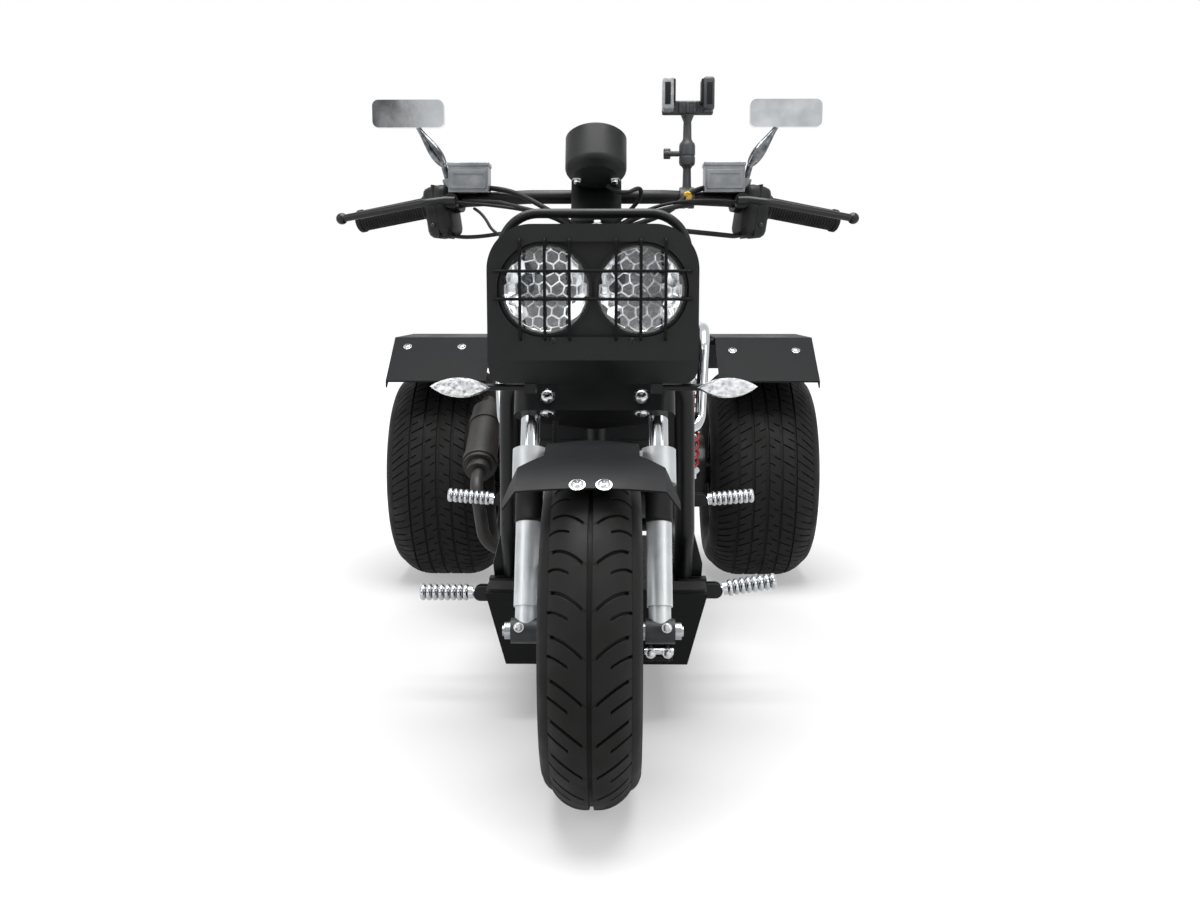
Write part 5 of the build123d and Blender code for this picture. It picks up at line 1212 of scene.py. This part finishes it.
SPLASH_HIGH, SPLASH_LOW = place(0, 344, 540), place(0, 371, 392)
bm = bmesh.new()
way = (SPLASH_HIGH - SPLASH_LOW).normalized()
outward = way.cross(LEFT).normalized()
turn = Matrix((LEFT, outward, way)).transposed().to_4x4()
for share in (0.22, 0.5, 0.78):
    for face_side in (-1, 1):
        for side in (-1, 1):
            at = SPLASH_LOW.lerp(SPLASH_HIGH, share) + outward * 0.0026 * face_side + LEFT * 0.068 * side
            rounded_box(bm, at, (84, 3.6, 12), 1.7, 0, turn)
piece("splash_plate_ribs", bm, coat_black, "chassis")

# %% [markdown]
# The studio is a pale floor that meets a white world. The floor gets some glow of its own, but only for
# rays of the camera, of gloss and of glass, and more of it farther from the object: so it runs out to
# white, while its own diffuse part still darkens under the object and keeps the shadow.

# %% Studio floor
def shown_ray(tree):
    """The light path node, and a socket that is 1 for rays of the camera, of gloss and of glass."""
    path = add(tree, "ShaderNodeLightPath")
    shown = path.outputs["Is Camera Ray"]
    for kind in ("Is Glossy Ray", "Is Transmission Ray"):
        shown = add(
            tree, "ShaderNodeMath", None, {0: shown, 1: path.outputs[kind]}, operation="MAXIMUM"
        ).outputs[0]
    return path, shown


bm = bmesh.new()
bmesh.ops.create_grid(bm, x_segments=1, y_segments=1, size=12)
floor_mesh = bpy.data.meshes.new("studio_floor")
bm.to_mesh(floor_mesh)
bm.free()
floor = into_scene("studio_floor", floor_mesh)
# Seamless backdrop paper: matt, with no sheen at all.
paper = bpy.data.materials.new("studio_paper_white")
paper.use_nodes = True
tree = paper.node_tree
shader = tree.nodes["Principled BSDF"]
shader.inputs["Base Color"].default_value = linear("#b4b4b4")
shader.inputs["Roughness"].default_value = 0.9
shader.inputs["Specular IOR Level"].default_value = 0.0
_, shown = shown_ray(tree)
where = add(tree, "ShaderNodeTexCoord").outputs["Object"]
reach = add(tree, "ShaderNodeVectorMath", None, {0: where}, operation="LENGTH").outputs["Value"]
glow = add(
    tree, "ShaderNodeMapRange", {"From Min": 0.5, "From Max": 2.0, "To Min": 0.28, "To Max": 0.95},
    {"Value": reach},
).outputs["Result"]
lift = add(tree, "ShaderNodeMath", None, {0: shown, 1: glow}, operation="MULTIPLY").outputs[0]
shader.inputs["Emission Color"].default_value = (1, 1, 1, 1)
tree.links.new(lift, shader.inputs["Emission Strength"])
floor_mesh.materials.append(paper)
print("studio floor: 24 m square")

# %% [markdown]
# The world is white where it is seen and dimmer where it lights, so that the lamps give the form.
# Chrome in an all-white room would look like white paint. A photographer holds up a black flag for it
# to mirror, and here a dark patch of the world, for gloss only, does the same.

# %% Studio world
WORLD_LIGHT, WORLD_SEEN, FLAG_DARK = 0.36, 1.0, 0.85
FLAG_WAY = Vector((-0.45, -0.88, 0.12)).normalized()
world = bpy.data.worlds.new("studio")
bpy.context.scene.world = world
world.use_nodes = True
tree = world.node_tree
path, seen = shown_ray(tree)
strength = add(
    tree, "ShaderNodeMapRange", {"To Min": WORLD_LIGHT, "To Max": WORLD_SEEN}, {"Value": seen}
).outputs["Result"]
where = add(tree, "ShaderNodeTexCoord").outputs["Generated"]
toward = add(
    tree, "ShaderNodeVectorMath", {1: FLAG_WAY}, {0: where}, operation="DOT_PRODUCT"
).outputs["Value"]
flag = add(
    tree, "ShaderNodeMapRange", {"From Min": 0.952, "From Max": 0.960, "To Min": 0.0, "To Max": FLAG_DARK},
    {"Value": toward},
).outputs["Result"]
flag = add(
    tree, "ShaderNodeMath", None, {0: flag, 1: path.outputs["Is Glossy Ray"]}, operation="MULTIPLY"
).outputs[0]
strength = add(tree, "ShaderNodeMath", None, {0: strength, 1: flag}, operation="SUBTRACT").outputs[0]
tree.nodes["Background"].inputs["Color"].default_value = (1, 1, 1, 1)
tree.links.new(strength, tree.nodes["Background"].inputs["Strength"])
print("studio world: lights at", WORLD_LIGHT, "and shows at", WORLD_SEEN)

# %% [markdown]
# Three soft boxes light it: a large one overhead and one at each front corner. Black paint shows its
# form only by what it mirrors, so the boxes are large and stand where their reflections run along
# the panels.

# %% Soft boxes
SOFT_BOXES = [
    # name, place in metres, aim, size, watts
    ("overhead", (0.0, -0.5, 2.9), (0.0, -0.2, 0.4), 2.2, 140),
    ("front_left", (2.4, -2.4, 1.9), (0.0, -0.2, 0.5), 1.6, 22),
    ("front_right", (-2.4, -2.4, 1.9), (0.0, -0.2, 0.5), 1.6, 22),
]
for name, spot, aim, size, watts in SOFT_BOXES:
    lamp = bpy.data.lights.new(name, "AREA")
    lamp.shape, lamp.size, lamp.energy = "SQUARE", size, watts
    box = into_scene(name, lamp)
    box.location = spot
    box.rotation_euler = (Vector(aim) - Vector(spot)).to_track_quat("-Z", "Y").to_euler()
bpy.context.scene.view_settings.view_transform = "Standard"
print("soft boxes:", len(SOFT_BOXES))

# %% [markdown]
# The camera stands where the photograph was taken: ahead of the scooter at chest height, looking
# slightly down. Its place and lens come from fitting the tyres' edges and the axle to their pixels.

# %% Camera
CAMERA_MM = (32.3, -2296.8, 715.4)
CAMERA_TURN = (radians(82.392), 0, radians(0.798))
FOCAL_PX, IMAGE_PX, SENSOR_MM = 1164.3, 1200, 36
camera_data = bpy.data.cameras.new("photo_camera")
camera_data.sensor_fit, camera_data.sensor_width = "HORIZONTAL", SENSOR_MM
camera_data.lens = FOCAL_PX / IMAGE_PX * SENSOR_MM
camera_data.clip_end = 60
camera = into_scene("photo_camera", camera_data)
camera.location = [value / 1000 for value in CAMERA_MM]
camera.rotation_euler = CAMERA_TURN
bpy.context.scene.camera = camera
print("camera lens", round(camera_data.lens, 2), "mm")
